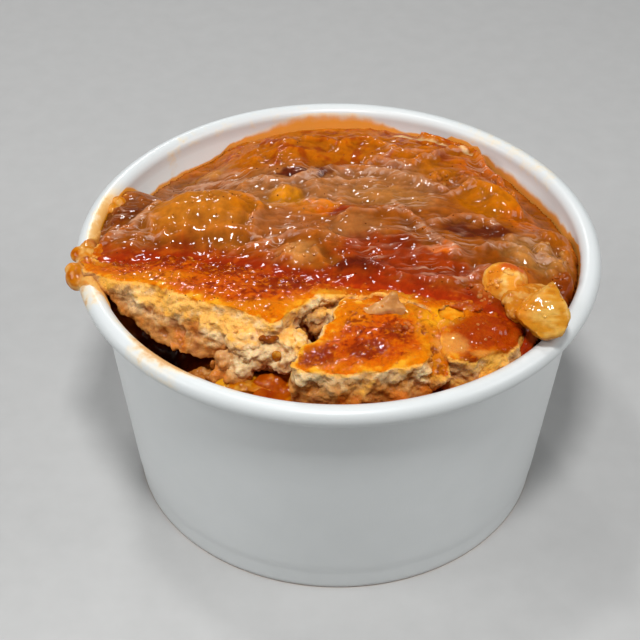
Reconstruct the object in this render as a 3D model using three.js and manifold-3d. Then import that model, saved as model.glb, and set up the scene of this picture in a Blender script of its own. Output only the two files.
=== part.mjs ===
// Fruit cobbler in a squat paper cup.
//
// Millimetres, +Z up. The origin is the centre of the cup's foot, on the surface it stands on.
// -Y is the side where the cake is torn open, and +X is the side of the big fruit chunk on the rim.
//
// A paper cup with a rolled rim holds a sauce filling up to about the foot of the cake. A baked cake
// slab lies on the filling, with its left end on the rim, and a second piece has torn off it at the
// front. A thick sauce topping covers the back of the slab and runs to the wall, pieces of fruit
// stand in the topping, the filling and the crust, and two drips of sauce hang over the rim.
import * as THREE from 'three';
import { mergeVertices } from 'three/addons/utils/BufferGeometryUtils.js';
import Module from 'manifold-3d';

const wasm = await Module();
wasm.setup();

// ---------------------------------------------------------------------------------------------
// Driving dimensions
// ---------------------------------------------------------------------------------------------

const GAP = 0.3; // kept between pieces that touch
const TURN = 2 * Math.PI;

// Cup
const RIM_RADIUS = 57.5; // outermost
const RIM_HEIGHT = 61.5; // top of the roll
const ROLL_RADIUS = 2.27; // outside of the rolled rim's section
const PAPER = 0.6;
const FOOT_RADIUS = 46.75;
const FLOOR_HEIGHT = 8; // top of the recessed bottom disc
const FOLD_HEIGHT = 6; // how far the wall's foot is folded up inside
const CUP_STEPS = 36; // facets around the cup

// Food
const CAKE_FOOT = 55; // underside of the cake, where the filling carries it
const CRUST_HEIGHT = 66.3; // top of the crust at the torn front
// How much lower the crust lies under the topping at the back, and at the right, and the
// stretch of y or x over which it falls.
const CRUST_BACK = { fall: 6.8, from: -30, to: 4 };
const CRUST_RIGHT = { fall: 4.2, from: 14, to: 46 };
// Top of the topping, which falls from the torn front towards the back wall.
const CROWN = { front: 66.6, back: 61.2, from: -22, to: 30 };
const CAKE_END = { from: -51, to: -43 }; // stretch of x in which the cake's left end lifts onto the rim
const BLANKET = 3.5; // least depth of topping over the filling
const HOLLOW = { at: [-41, -27], reach: [15, 13], depth: 15 }; // in the filling, under the torn edge
const CUTTER_DEPTH = 3; // how far a cutter reaches below the piece it makes room for
const SPARE = 1; // how far a torn block passes the crust's foot, before the crust trims it
const RELIEF = [0.5, 0.4]; // depths of the two ripples of a torn face
const LUMPS = 0.05; // unevenness of fruit, as a share of its size
const FOOD_TOP = 80; // above everything
const LARGE = 6.5; // fruit longer than this gets finer facets
const SLAB_SAMPLES = 50; // points around the slab's outline
const FRONT_SAMPLES = 30;

// Where the filling's top and the topping's underside have their corners, so that they stay parallel.
const FILLING_GRID = { radius: 53, steps: 30, rings: 7 };

// How high the topping stands against the wall, by direction in degrees from +X towards +Y.
const WALL_LEVELS = [
  [0, 60], [22, 55], [38, 56], [60, 57.5], [90, 57], [112, 55.5], [128, 52], [142, 51.5],
  [156, 57], [170, 60.5], [185, 61], [320, 61], [340, 60], [360, 60],
];

// Mounds (height above 0) and dimples (below 0) of the topping: x, y, height, reach.
const TOPPING_MOUNDS = [
  [-15, 38, 3.2, 8],
  [-23, 28, -1.2, 6],
  [-36, 25, -3.6, 8],
  [-48, 8, 1.2, 5],
  [2, 28, -1.6, 7],
  [16, 33, 2.2, 6],
  [28, 34, 1.4, 5],
  [10, 16, 1.6, 7],
  [-9, 12, 0.9, 6],
  [24, 22, -1.4, 5],
  [42, 16, -2.2, 6],
  [30, 2, -1.2, 6],
  [18, -6, 0.8, 7],
  [-8, -8, 0.9, 6],
  [-28, 5, 1.4, 10],
  [-14, 2, -1.3, 6],
];

// Bulges of the crust: x, y, height, reach.
const CRUST_MOUNDS = [
  [-46, -12, -0.7, 6],
  [-36, -14, 0.9, 6],
  [-24, -22, 0.6, 6],
  [-30, -12, -0.8, 5],
  [4, -40, 0.9, 8],
  [-6, -46, -1.2, 5],
  [17, -38, -1.2, 3.5],
  [28, -36, 1.1, 6],
];

// Foot of the cake slab: x, y, and how far the torn face leans in from foot to crust.
const SLAB_OUTLINE = [
  [-56, -10, 0.6], [-54.4, -14.6, 1.6], [-50.8, -20, 4], [-46, -23.6, 6], [-40, -27, 7],
  [-34, -32, 8.4], [-28, -34.8, 7.4], [-20.5, -36, 5.8], [-15, -38.6, 5], [-10.2, -37, 3], [-7.6, -32, 2],
  [-6.5, -27.6, 1.6], [-1, -25.6, 1], [6, -26, 0.8], [12.5, -27.4, 0.8], [18, -30, 0.8],
  [19.8, -36, 0.8], [20.4, -43.6, 1.2], [25.5, -45.4, 1.4], [31, -42.6, 1.4], [36.6, -38.4, 1.4],
  [38.6, -32, 1], [42, -24, 1], [46, -14, 1], [46, -4, 1], [36, 6, 1], [10, 11, 1],
  [-20, 10, 1], [-42, 3, 1], [-53, -4, 0.6],
];

// Foot of the piece torn off at the front, in the same way.
const FRONT_OUTLINE = [
  [-8.8, -48.4, 0.4], [-4, -50.8, 0.8], [1, -51.4, 1.2], [8, -51, 1.2], [14, -49.2, 1.4],
  [18.9, -46, 0.8], [18.9, -37, 0.6], [17, -31.2, 0.6], [12, -28.6, 0.6], [6, -27.2, 0.6],
  [0.2, -28.4, 0.9], [-2.4, -34, 1.6], [-5, -39.6, 1.6], [-8.4, -43.4, 1],
];

// Front edge of the sauce topping on the crust, from left to right.
const TOPPING_EDGE = [
  [-60, -4], [-52, -8], [-45, -8.5], [-38, -7.5], [-31, -9], [-24, -11], [-17, -14], [-10, -18],
  [-5, -22], [2, -23.6], [9, -24.4], [16, -24], [22, -26.5], [29, -28], [34, -31], [38, -35],
  [42, -40], [60, -40],
];
// The rest of its outline lies past the wall, where the cup cuts it.
const TOPPING_BACK = [[62, 0], [44, 44], [0, 62], [-44, 44]];
const TOPPING_THIN = 0.6; // depth of the topping at its front edge
const TOPPING_SLOPE = 0.5; // how steeply it thickens from there

// Fruit: centre, half sizes, squareness of the form (2 is round), turn about Z and tilt in
// degrees, and how much the piece bows like a slice.
const FRUIT = {
  fruit_rim_chunk: { at: [41.9, -30.2, 65.9], half: [5.2, 6.3, 4.3], square: 3.4, turn: 12, tilt: 10 },
  fruit_round: { at: [35, -19.6, 64.6], half: [5.6, 5.2, 4.6], square: 2.2, turn: 0, tilt: 0 },
  fruit_back_slice: { at: [33.4, 17.2, 59.2], half: [11, 5.6, 4.6], square: 3, turn: -48, tilt: 14, bow: 2 },
  fruit_left_slice: { at: [-30, 5.4, 63.8], half: [12, 7.4, 4.4], square: 2.8, turn: 10, tilt: 4, bow: -1 },
  fruit_orange: { at: [-5, 11.4, 62.4], half: [4.2, 4.2, 3.2], square: 2.4, turn: 20, tilt: 0 },
  fruit_yellow: { at: [-12, 16.4, 61], half: [4.4, 3.6, 3], square: 2.6, turn: 30, tilt: 0 },
  fruit_pale: { at: [-9, -9.4, 65.4], half: [4.6, 3.4, 2.6], square: 2.2, turn: -15, tilt: 0 },
  fruit_tan: { at: [3.4, 0.8, 64.0], half: [6, 6.6, 4], square: 2.2, turn: 20, tilt: 0 },
  fruit_hump: { at: [9.4, 14.8, 61.6], half: [7.8, 4.4, 4], square: 2.4, turn: -8, tilt: 0 },
  fruit_right_inner: { at: [39.6, -8, 62.2], half: [3.2, 3, 2.8], square: 2.3, turn: 0, tilt: 0 },
  fruit_right_middle: { at: [44.8, -5, 61], half: [2.7, 3, 2.6], square: 2.3, turn: 0, tilt: 0 },
  fruit_right_wall: { at: [49, -4.4, 59.8], half: [2.4, 3, 2.4], square: 2.3, turn: 0, tilt: 0 },
  fruit_right_front: { at: [47.4, -13, 60.6], half: [3.2, 3.4, 2.8], square: 2.4, turn: 15, tilt: 0 },
  fruit_sliver: { at: [11, -26.8, 65.4], half: [4.8, 2, 1.5], square: 2, turn: -28, tilt: 0 },
  fruit_crust_yellow: { at: [23, -30.6, 63.8], half: [3.2, 3.4, 1.9], square: 2.4, turn: 10, tilt: 0 },
  fruit_under: { at: [-20, -39.4, 51.6], half: [5.4, 4, 3.2], square: 2.8, turn: 8, tilt: 0 },
  fruit_under_left: { at: [-29, -35.4, 49.6], half: [3.6, 3, 2.8], square: 2.4, turn: -40, tilt: 0 },
};

// Drips over the rim: direction in degrees, height, half sizes outwards, around and up.
const DRIPS = {
  sauce_drip_large: { angle: 193, at: [58.1, 59.8], half: [2.5, 3.7, 3] },
  sauce_drip_small: { angle: 185.6, at: [57.5, 60.6], half: [1.6, 1.9, 1.8] },
};

// ---------------------------------------------------------------------------------------------
// Solids
// ---------------------------------------------------------------------------------------------

/** Turns a closed geometry into a solid that can be joined and cut. */
function toSolid(geometry) {
  const bare = geometry.clone();
  bare.deleteAttribute('normal');
  bare.deleteAttribute('uv');
  const merged = mergeVertices(bare, 1e-4);
  return new wasm.Manifold(new wasm.Mesh({
    numProp: 3,
    vertProperties: Float32Array.from(merged.attributes.position.array),
    triVerts: Uint32Array.from(merged.index.array),
  }));
}

/** Turns a solid back into a geometry. */
function toGeometry(solid) {
  const mesh = solid.getMesh();
  const geometry = new THREE.BufferGeometry();
  geometry.setAttribute('position', new THREE.BufferAttribute(mesh.vertProperties, 3));
  geometry.setIndex(new THREE.BufferAttribute(mesh.triVerts, 1));
  geometry.computeVertexNormals();
  return geometry;
}

/** A geometry from flat lists of coordinates and of corners. */
function meshOf(points, faces) {
  const geometry = new THREE.BufferGeometry();
  geometry.setAttribute('position', new THREE.Float32BufferAttribute(points, 3));
  geometry.setIndex(faces);
  geometry.computeVertexNormals();
  return geometry;
}

/** A profile of [radius, height] points, turned about Z. Outside, it runs upwards. */
function turned(profile, steps = CUP_STEPS) {
  const points = profile.map(([radius, height]) => new THREE.Vector2(radius, height));
  return new THREE.LatheGeometry(points, steps).rotateX(Math.PI / 2);
}

/** A solid of round plan between two height functions of x and y. */
function layer({ topRadius, footRadius, upper, lower, steps, topRings, footRings }) {
  const points = [];
  const faces = [];
  const corner = (centre, ring, step) => centre + 1 + (ring - 1) * steps + (step % steps);
  const addFace = (face, up) => faces.push(...(up ? face : face.reverse()));
  const addSheet = (radius, height, rings, up) => {
    const centre = points.length / 3;
    points.push(0, 0, height(0, 0));
    for (let ring = 1; ring <= rings; ring++) {
      for (let step = 0; step < steps; step++) {
        const angle = (step / steps) * TURN;
        const x = radius * (ring / rings) * Math.cos(angle);
        const y = radius * (ring / rings) * Math.sin(angle);
        points.push(x, y, height(x, y));
      }
    }
    for (let step = 0; step < steps; step++) {
      addFace([centre, corner(centre, 1, step), corner(centre, 1, step + 1)], up);
      for (let ring = 1; ring < rings; ring++) {
        const [a, b] = [corner(centre, ring, step), corner(centre, ring, step + 1)];
        const [c, d] = [corner(centre, ring + 1, step), corner(centre, ring + 1, step + 1)];
        addFace([a, c, d], up);
        addFace([a, d, b], up);
      }
    }
    return centre;
  };
  const top = addSheet(topRadius, upper, topRings, true);
  const foot = addSheet(footRadius, lower, footRings, false);
  for (let step = 0; step < steps; step++) {
    const [a, b] = [corner(top, topRings, step), corner(top, topRings, step + 1)];
    const [c, d] = [corner(foot, footRings, step), corner(foot, footRings, step + 1)];
    faces.push(a, c, d, a, d, b);
  }
  return toSolid(meshOf(points, faces));
}

/** A block with the plan of a smooth closed outline, whose sides lean in as they rise. */
function block({ outline, foot, top, samples, rings = 1, grow = 0, relief = () => 0 }) {
  const corners = outline.map(([x, y, lean = 0]) => new THREE.Vector3(x, y, lean));
  const curve = new THREE.CatmullRomCurve3(corners, true, 'centripetal');
  const points = [];
  const faces = [];
  for (let ring = 0; ring <= rings; ring++) {
    const rise = ring / rings;
    const height = foot + (top - foot) * rise;
    for (let step = 0; step < samples; step++) {
      const place = curve.getPointAt(step / samples);
      const tangent = curve.getTangentAt(step / samples);
      const length = Math.hypot(tangent.x, tangent.y);
      const out = grow - place.z * rise + relief(place.x, place.y, height);
      points.push(place.x + (tangent.y / length) * out, place.y - (tangent.x / length) * out, height);
    }
  }
  for (let ring = 0; ring < rings; ring++) {
    for (let step = 0; step < samples; step++) {
      const next = (step + 1) % samples;
      const [a, b] = [ring * samples + step, ring * samples + next];
      faces.push(a, b, b + samples, a, b + samples, a + samples);
    }
  }
  const addCap = (ring, up) => {
    const plan = [];
    for (let step = 0; step < samples; step++) {
      const index = 3 * (ring * samples + step);
      plan.push(new THREE.Vector2(points[index], points[index + 1]));
    }
    for (const [a, b, c] of THREE.ShapeUtils.triangulateShape(plan, [])) {
      const face = [a, b, c].map((step) => ring * samples + step);
      faces.push(...(up ? face : face.reverse()));
    }
  };
  addCap(0, false);
  addCap(rings, true);
  return toSolid(meshOf(points, faces));
}

// ---------------------------------------------------------------------------------------------
// Heights of the food
// ---------------------------------------------------------------------------------------------

const smooth = (from, to, value) => THREE.MathUtils.smoothstep(value, from, to);

/** Sum of round mounds at x, y. */
function mounds(list, x, y) {
  return list.reduce((sum, [mx, my, height, reach]) => {
    const distance = Math.hypot(x - mx, y - my) / reach;
    return sum + height * Math.exp(-distance * distance);
  }, 0);
}

/** Outer radius of the cup's wall at a height. */
function wallRadius(height) {
  const topRadius = RIM_RADIUS - 2 * ROLL_RADIUS + PAPER;
  const rise = height / (RIM_HEIGHT - ROLL_RADIUS);
  return FOOT_RADIUS + (topRadius - FOOT_RADIUS) * Math.min(rise, 1);
}

/** Height of a line of [place, height] points at a place, eased from point to point. */
function along(line, place) {
  const after = Math.max(line.findIndex(([from]) => from >= place), 1);
  const [last, next] = [line[after - 1], line[after]];
  return last[1] + (next[1] - last[1]) * smooth(last[0], next[0], place);
}

/** How high the topping stands against the wall in the direction of an angle. */
function wallLevel(angle) {
  return along(WALL_LEVELS, (THREE.MathUtils.radToDeg(angle) + 360) % 360);
}

/** Top of the baked crust. */
function crustTop(x, y) {
  const back = CRUST_BACK.fall * smooth(CRUST_BACK.from, CRUST_BACK.to, y);
  const right = CRUST_RIGHT.fall * smooth(CRUST_RIGHT.from, CRUST_RIGHT.to, x);
  return CRUST_HEIGHT - back - right + mounds(CRUST_MOUNDS, x, y);
}

/** Top of the sauce topping: a heap from wall to wall that thins out on the crust at the front. */
function toppingTop(x, y) {
  const reach = Math.min(Math.hypot(x, y) / wallRadius(CAKE_FOOT), 1);
  const level = wallLevel(Math.atan2(y, x));
  const crown = CROWN.front + (CROWN.back - CROWN.front) * smooth(CROWN.from, CROWN.to, y);
  const heap = level + (crown - level) * (1 - reach ** 4) + mounds(TOPPING_MOUNDS, x, y);
  const behindEdge = Math.max(y - along(TOPPING_EDGE, x), 0);
  return Math.min(heap, crustTop(x, y) + TOPPING_THIN + TOPPING_SLOPE * behindEdge);
}

/** Underside of the cake, which rises at the left end to lie on the rim. */
function cakeFoot(x) {
  return CAKE_FOOT + (RIM_HEIGHT + GAP - CAKE_FOOT) * (1 - smooth(CAKE_END.from, CAKE_END.to, x));
}

/** Top of the filling, with the hollow at the front left. */
function fillingTop(x, y) {
  const bearing = CAKE_FOOT - GAP;
  const covered = Math.min(bearing, toppingTop(x, y) - BLANKET);
  const hollow = Math.hypot((x - HOLLOW.at[0]) / HOLLOW.reach[0], (y - HOLLOW.at[1]) / HOLLOW.reach[1]);
  return covered - HOLLOW.depth * Math.exp(-hollow * hollow);
}

/** Crumbly relief of a torn face. */
function tornRelief(x, y, height) {
  const upright = Math.sin(x * 0.9 + height * 0.7);
  const slanting = Math.sin(y * 1.3 - height * 1.1 + x * 0.4);
  return RELIEF[0] * upright + RELIEF[1] * slanting;
}

// ---------------------------------------------------------------------------------------------
// Cup
// ---------------------------------------------------------------------------------------------

/** Points of the rolled rim's section, from one direction to another, at a radius. */
function rollArc(radius, from, to, steps) {
  const centre = [RIM_RADIUS - ROLL_RADIUS, RIM_HEIGHT - ROLL_RADIUS];
  return Array.from({ length: steps + 1 }, (_, step) => {
    const angle = THREE.MathUtils.degToRad(from + (to - from) * (step / steps));
    return [centre[0] + radius * Math.cos(angle), centre[1] + radius * Math.sin(angle)];
  });
}

/** The wall: a cone of paper, rolled outwards at the top and folded up inside at the foot. */
function cupSidewall() {
  const rollEnd = -125; // direction of the roll's free edge, from straight outwards
  const channel = PAPER + 2 * GAP; // takes the skirt of the bottom disc
  const foldTop = wallRadius(FOLD_HEIGHT) - PAPER - channel;
  const foldFoot = FOOT_RADIUS - PAPER - channel;
  return turned([
    [foldFoot - PAPER, 0],
    [FOOT_RADIUS, 0],
    [wallRadius(RIM_HEIGHT - 2 * ROLL_RADIUS), RIM_HEIGHT - 2 * ROLL_RADIUS],
    ...rollArc(ROLL_RADIUS - PAPER, 180, rollEnd, 4),
    ...rollArc(ROLL_RADIUS, rollEnd, 180, 7),
    [wallRadius(PAPER) - PAPER, PAPER],
    [foldFoot, PAPER],
    [foldTop, FOLD_HEIGHT],
    [foldTop - PAPER, FOLD_HEIGHT],
    [foldFoot - PAPER, 0],
  ]);
}

/** The bottom: a disc above the foot, with a skirt that goes down into the wall's fold. */
function cupBottom() {
  const skirtFoot = PAPER + GAP;
  const outside = (height) => wallRadius(height) - PAPER - GAP;
  return turned([
    [0, FLOOR_HEIGHT - PAPER],
    [outside(FLOOR_HEIGHT) - PAPER, FLOOR_HEIGHT - PAPER],
    [outside(skirtFoot) - PAPER, skirtFoot],
    [outside(skirtFoot), skirtFoot],
    [outside(FLOOR_HEIGHT), FLOOR_HEIGHT],
    [0, FLOOR_HEIGHT],
  ]);
}

/** Everything that food may fill: inside the wall, and over the rim. */
function roomForFood() {
  const inside = (height) => wallRadius(height) - PAPER - GAP;
  const beyond = RIM_RADIUS + 10;
  return toSolid(turned([
    [0, FLOOR_HEIGHT + GAP],
    [inside(FLOOR_HEIGHT + GAP), FLOOR_HEIGHT + GAP],
    [inside(RIM_HEIGHT - 2 * ROLL_RADIUS), RIM_HEIGHT - 2 * ROLL_RADIUS],
    ...rollArc(ROLL_RADIUS + GAP, 180, -60, 10),
    [beyond, RIM_HEIGHT - 2 * ROLL_RADIUS],
    [beyond, FOOD_TOP],
    [0, FOOD_TOP],
  ]));
}

// ---------------------------------------------------------------------------------------------
// Food
// ---------------------------------------------------------------------------------------------

const cupRoom = roomForFood();

/** A piece of fruit: between a ball and a block, bowed and slightly lumpy. */
function fruitPiece({ at, half, square, turn, tilt, bow = 0 }, grow = 0) {
  const detail = Math.min(half[0], 2 * half[2]) > LARGE ? 2 : 1;
  const geometry = new THREE.IcosahedronGeometry(1, detail);
  const position = geometry.attributes.position;
  const point = new THREE.Vector3();
  for (let index = 0; index < position.count; index++) {
    point.fromBufferAttribute(position, index);
    const sum = Math.abs(point.x) ** square + Math.abs(point.y) ** square + Math.abs(point.z) ** square;
    const lump = 1 + LUMPS * Math.sin(3.1 * point.x + at[0]) * Math.cos(2.7 * point.y + at[1]);
    point.multiplyScalar(lump * sum ** (-1 / square));
    point.y += (bow / half[1]) * point.x * point.x;
    point.set(point.x * (half[0] + grow), point.y * (half[1] + grow), point.z * (half[2] + grow));
    position.setXYZ(index, point.x, point.y, point.z);
  }
  geometry.rotateX(THREE.MathUtils.degToRad(tilt));
  geometry.rotateZ(THREE.MathUtils.degToRad(turn));
  geometry.translate(...at);
  return toSolid(geometry);
}

/** Cuts away from a solid what others take up. */
function carve(solid, cutters) {
  return cutters.reduce((left, cutter) => left.subtract(cutter), solid);
}

/** All pieces of fruit, each clear of the ones before it and of the cup. */
function fruitPieces() {
  const pieces = {};
  const taken = [];
  for (const [name, shape] of Object.entries(FRUIT)) {
    pieces[name] = carve(fruitPiece(shape).intersect(cupRoom), taken);
    taken.push(fruitPiece(shape, GAP));
  }
  return { pieces, taken };
}

/** A baked piece: crust on top, torn or broken sides. As a cutter it is grown and goes deeper. */
function cakePiece(outline, samples, grow = 0, deeper = 0) {
  const sides = block({
    outline,
    samples,
    grow,
    foot: CAKE_FOOT - SPARE,
    top: CRUST_HEIGHT + 3 * SPARE,
    rings: 3,
    relief: tornRelief,
  });
  const baked = layer({
    topRadius: RIM_RADIUS,
    footRadius: RIM_RADIUS,
    upper: (x, y) => crustTop(x, y) + grow,
    lower: (x) => cakeFoot(x) - grow - deeper,
    steps: 28,
    topRings: 9,
    footRings: 9,
  });
  return sides.intersect(baked);
}

/** The sauce that covers the back of the cake and runs to the wall. */
function sauceTopping() {
  const outline = [...TOPPING_EDGE, ...TOPPING_BACK];
  const plan = block({ outline, samples: 34, foot: FLOOR_HEIGHT, top: FOOD_TOP });
  const sauce = layer({
    topRadius: RIM_RADIUS - ROLL_RADIUS,
    footRadius: FILLING_GRID.radius,
    upper: toppingTop,
    lower: (x, y) => fillingTop(x, y) + GAP,
    steps: FILLING_GRID.steps,
    topRings: 9,
    footRings: FILLING_GRID.rings,
  });
  return sauce.intersect(plan).intersect(cupRoom);
}

/** The sauce that fills the cup under the cake. */
function sauceFilling() {
  return layer({
    topRadius: FILLING_GRID.radius,
    footRadius: wallRadius(FLOOR_HEIGHT),
    upper: fillingTop,
    lower: () => FLOOR_HEIGHT,
    steps: FILLING_GRID.steps,
    topRings: FILLING_GRID.rings,
    footRings: 1,
  }).intersect(cupRoom);
}

/** A lobe of sauce that hangs over the outside of the rolled rim. */
function drip({ angle, at, half }) {
  const geometry = new THREE.IcosahedronGeometry(1, 1);
  geometry.scale(...half);
  geometry.translate(at[0], 0, at[1]);
  geometry.rotateZ(THREE.MathUtils.degToRad(angle));
  return toSolid(geometry);
}

// ---------------------------------------------------------------------------------------------
// Assembly
// ---------------------------------------------------------------------------------------------

const paint = (color, roughness) => new THREE.MeshStandardMaterial({ color, roughness, metalness: 0 });

const FRUIT_COLOURS = {
  fruit_rim_chunk: '#dcb676',
  fruit_round: '#d69a4e',
  fruit_back_slice: '#d9962a',
  fruit_left_slice: '#cf9433',
  fruit_orange: '#cf6a1c',
  fruit_yellow: '#d9982e',
  fruit_pale: '#cf9a5c',
  fruit_tan: '#b9763d',
  fruit_hump: '#c0813f',
  fruit_sliver: '#d3a26a',
  fruit_crust_yellow: '#dd9a2e',
  fruit_under: '#d08f22',
  fruit_under_left: '#a8661c',
};
const FRUIT_COLOUR = '#cf9550'; // of the small pieces

const cobbler = new THREE.Group();

/** Adds a named piece to the cobbler. */
function addPiece(name, geometry, material) {
  const mesh = new THREE.Mesh(geometry, material);
  mesh.name = name;
  cobbler.add(mesh);
}

const fruit = fruitPieces();
const slab = carve(cakePiece(SLAB_OUTLINE, SLAB_SAMPLES).intersect(cupRoom), fruit.taken);
const slabCutter = cakePiece(SLAB_OUTLINE, SLAB_SAMPLES, GAP, CUTTER_DEPTH);
const front = carve(cakePiece(FRONT_OUTLINE, FRONT_SAMPLES).intersect(cupRoom), [slabCutter, ...fruit.taken]);
const frontCutter = cakePiece(FRONT_OUTLINE, FRONT_SAMPLES, GAP, CUTTER_DEPTH);

addPiece('cup_sidewall', cupSidewall(), paint('#b4b9b7', 0.55));
addPiece('cup_bottom', cupBottom(), paint('#d8dad7', 0.6));
addPiece('sauce_filling', toGeometry(carve(sauceFilling(), fruit.taken)), paint('#b8741c', 0.3));
addPiece('cake_slab', toGeometry(slab), paint('#c98a48', 0.7));
addPiece('cake_front_piece', toGeometry(front), paint('#c47f3c', 0.7));
const topping = carve(sauceTopping(), [slabCutter, frontCutter, ...fruit.taken]);
addPiece('sauce_topping', toGeometry(topping), paint('#b5651d', 0.25));
for (const [name, solid] of Object.entries(fruit.pieces)) {
  addPiece(name, toGeometry(solid), paint(FRUIT_COLOURS[name] ?? FRUIT_COLOUR, 0.35));
}
const roll = new THREE.TorusGeometry(RIM_RADIUS - ROLL_RADIUS, ROLL_RADIUS + GAP, 12, 2 * CUP_STEPS);
const rollCutter = toSolid(roll.translate(0, 0, RIM_HEIGHT - ROLL_RADIUS));
for (const [name, shape] of Object.entries(DRIPS)) {
  addPiece(name, toGeometry(carve(drip(shape), [rollCutter, slabCutter])), paint('#b9782c', 0.25));
}

export default cobbler;
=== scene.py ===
# %% [markdown]
# # Fruit cobbler in a paper cup
#
# A squat paper cup is heaped with warm cobbler: torn cake with a browned crust, cooked fruit and a thick
# sauce that has begun to set a skin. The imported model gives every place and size. This lesson lays fine
# surfaces over it, one piece at a time, and gives each its finish.

# %% Load the frame
import math

import bpy
import numpy as np
from mathutils import Matrix, Vector, bvhtree, kdtree, noise


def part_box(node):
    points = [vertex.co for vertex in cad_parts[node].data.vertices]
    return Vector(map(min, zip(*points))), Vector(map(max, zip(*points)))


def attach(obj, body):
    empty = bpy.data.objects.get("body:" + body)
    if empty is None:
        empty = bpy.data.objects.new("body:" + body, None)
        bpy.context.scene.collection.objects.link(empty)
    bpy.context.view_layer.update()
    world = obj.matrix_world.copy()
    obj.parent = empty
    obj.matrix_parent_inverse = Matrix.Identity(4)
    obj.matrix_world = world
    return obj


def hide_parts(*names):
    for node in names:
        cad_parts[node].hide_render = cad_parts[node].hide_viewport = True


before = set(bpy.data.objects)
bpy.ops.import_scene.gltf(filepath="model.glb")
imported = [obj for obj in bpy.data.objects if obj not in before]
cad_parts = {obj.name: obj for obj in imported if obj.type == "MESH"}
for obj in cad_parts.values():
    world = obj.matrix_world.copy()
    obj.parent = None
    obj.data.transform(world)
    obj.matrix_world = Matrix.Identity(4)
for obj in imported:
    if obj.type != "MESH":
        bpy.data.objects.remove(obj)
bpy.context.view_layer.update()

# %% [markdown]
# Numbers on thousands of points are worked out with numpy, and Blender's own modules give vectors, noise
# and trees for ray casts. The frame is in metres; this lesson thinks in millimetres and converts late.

MM = 0.001
bpy.ops.object.select_all(action="DESELECT")
print(len(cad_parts), "packed solids")

# %% [markdown]
# ## The cup's measures
#
# Everything is placed from the cup. Its rim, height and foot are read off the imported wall, so that the
# paper cup modelled later, the camera and the sauce all agree with it.

# %% Read the cup's measures, in millimetres
low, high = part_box("cup_sidewall")
RIM = (high.x - low.x) / 2 / MM
HEIGHT = high.z / MM
ROLL = 2.27  # radius of the rolled rim's section
PAPER = 0.6  # thickness of the paper
wall = np.array([v.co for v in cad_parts["cup_sidewall"].data.vertices]) / MM
FOOT = np.hypot(wall[:, 0], wall[:, 1])[wall[:, 2] < 0.1].max()
NECK = RIM - 2 * ROLL + PAPER  # outside of the wall just under the rim


def wall_radius(height):
    """Outside radius of the wall at a height."""
    return FOOT + (NECK - FOOT) * np.minimum(height / (HEIGHT - ROLL), 1)


print(f"rim {RIM:.1f}, height {HEIGHT:.1f}, foot {FOOT:.1f} mm")

# %% [markdown]
# ## Camera
#
# The cup is seen from in front and well above, from about seven rim radii away, with a long lens. The
# camera aims a little above the middle of the cup and hangs very slightly askew.

# %% Camera
VIEW_RISE = math.radians(43.345)  # how high the camera stands, seen from the cup's foot
LOOK_DOWN = math.radians(39.232)
LOOK_ASIDE = math.radians(0.759)
LEAN = math.radians(0.320)
VIEW_DISTANCE = 7.1929 * RIM * MM

bpy.ops.object.camera_add()
camera = bpy.context.object
camera.data.sensor_width = 36
camera.data.lens = 95.6
camera.data.clip_start = 0.01
turn = Matrix.Rotation(LOOK_ASIDE, 4, "Z") @ Matrix.Rotation(math.pi / 2 - LOOK_DOWN, 4, "X")
place = Vector((0, -math.cos(VIEW_RISE), math.sin(VIEW_RISE))) * VIEW_DISTANCE
camera.matrix_world = Matrix.Translation(place) @ turn @ Matrix.Rotation(LEAN, 4, "Z")
bpy.context.scene.camera = camera
print(f"camera at {VIEW_DISTANCE / MM:.0f} mm")

# %% [markdown]
# ## Floor and light
#
# The cup stands on a pale, plain floor. One big plane is enough, since nothing else is in view.

# %% Floor
bpy.ops.mesh.primitive_plane_add(size=3)
floor = bpy.context.object
floor.name = "floor"

# %% [markdown]
# Wet food shows its light as small bright spots, so the lights are small squares and not one large
# sheet. They stand above, behind and at both sides, which leaves the near side of the white wall in
# quiet shade. A faint sky fills the shadows.

# %% Lights
SKY_STRENGTH = 0.09
scene = bpy.context.scene
scene.view_settings.view_transform = "Standard"
scene.world = bpy.data.worlds.new("studio")
scene.world.use_nodes = True
scene.world.node_tree.nodes["Background"].inputs["Color"].default_value = (0.93, 0.96, 1, 1)
scene.world.node_tree.nodes["Background"].inputs["Strength"].default_value = SKY_STRENGTH


def soft_light(name, place, size, power):
    """A square soft light that faces the food."""
    bpy.ops.object.light_add(type="AREA", location=place)
    light = bpy.context.object
    light.name = name
    light.data.size = size
    light.data.energy = power
    toward = Vector((0, 0, 0.05)) - Vector(place)
    light.rotation_euler = toward.to_track_quat("-Z", "Y").to_euler()
    print(name, power, "W")


soft_light("key_light", (0.0, -0.25, 0.62), 0.09, 2.6)
soft_light("top_light", (-0.14, 0.08, 0.66), 0.07, 0.8)
soft_light("back_light", (-0.12, 0.50, 0.40), 0.07, 0.5)
soft_light("left_light", (-0.52, -0.12, 0.42), 0.3, 1.4)
soft_light("right_light", (0.52, -0.12, 0.44), 0.3, 1.25)

# %% [markdown]
# ## Shader sums
#
# A finish is written as sums on sockets. One small class wraps a socket, so that `1 - mask` adds its
# Math node, and a finish object adds any other node by its type, settings and inputs.


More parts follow.
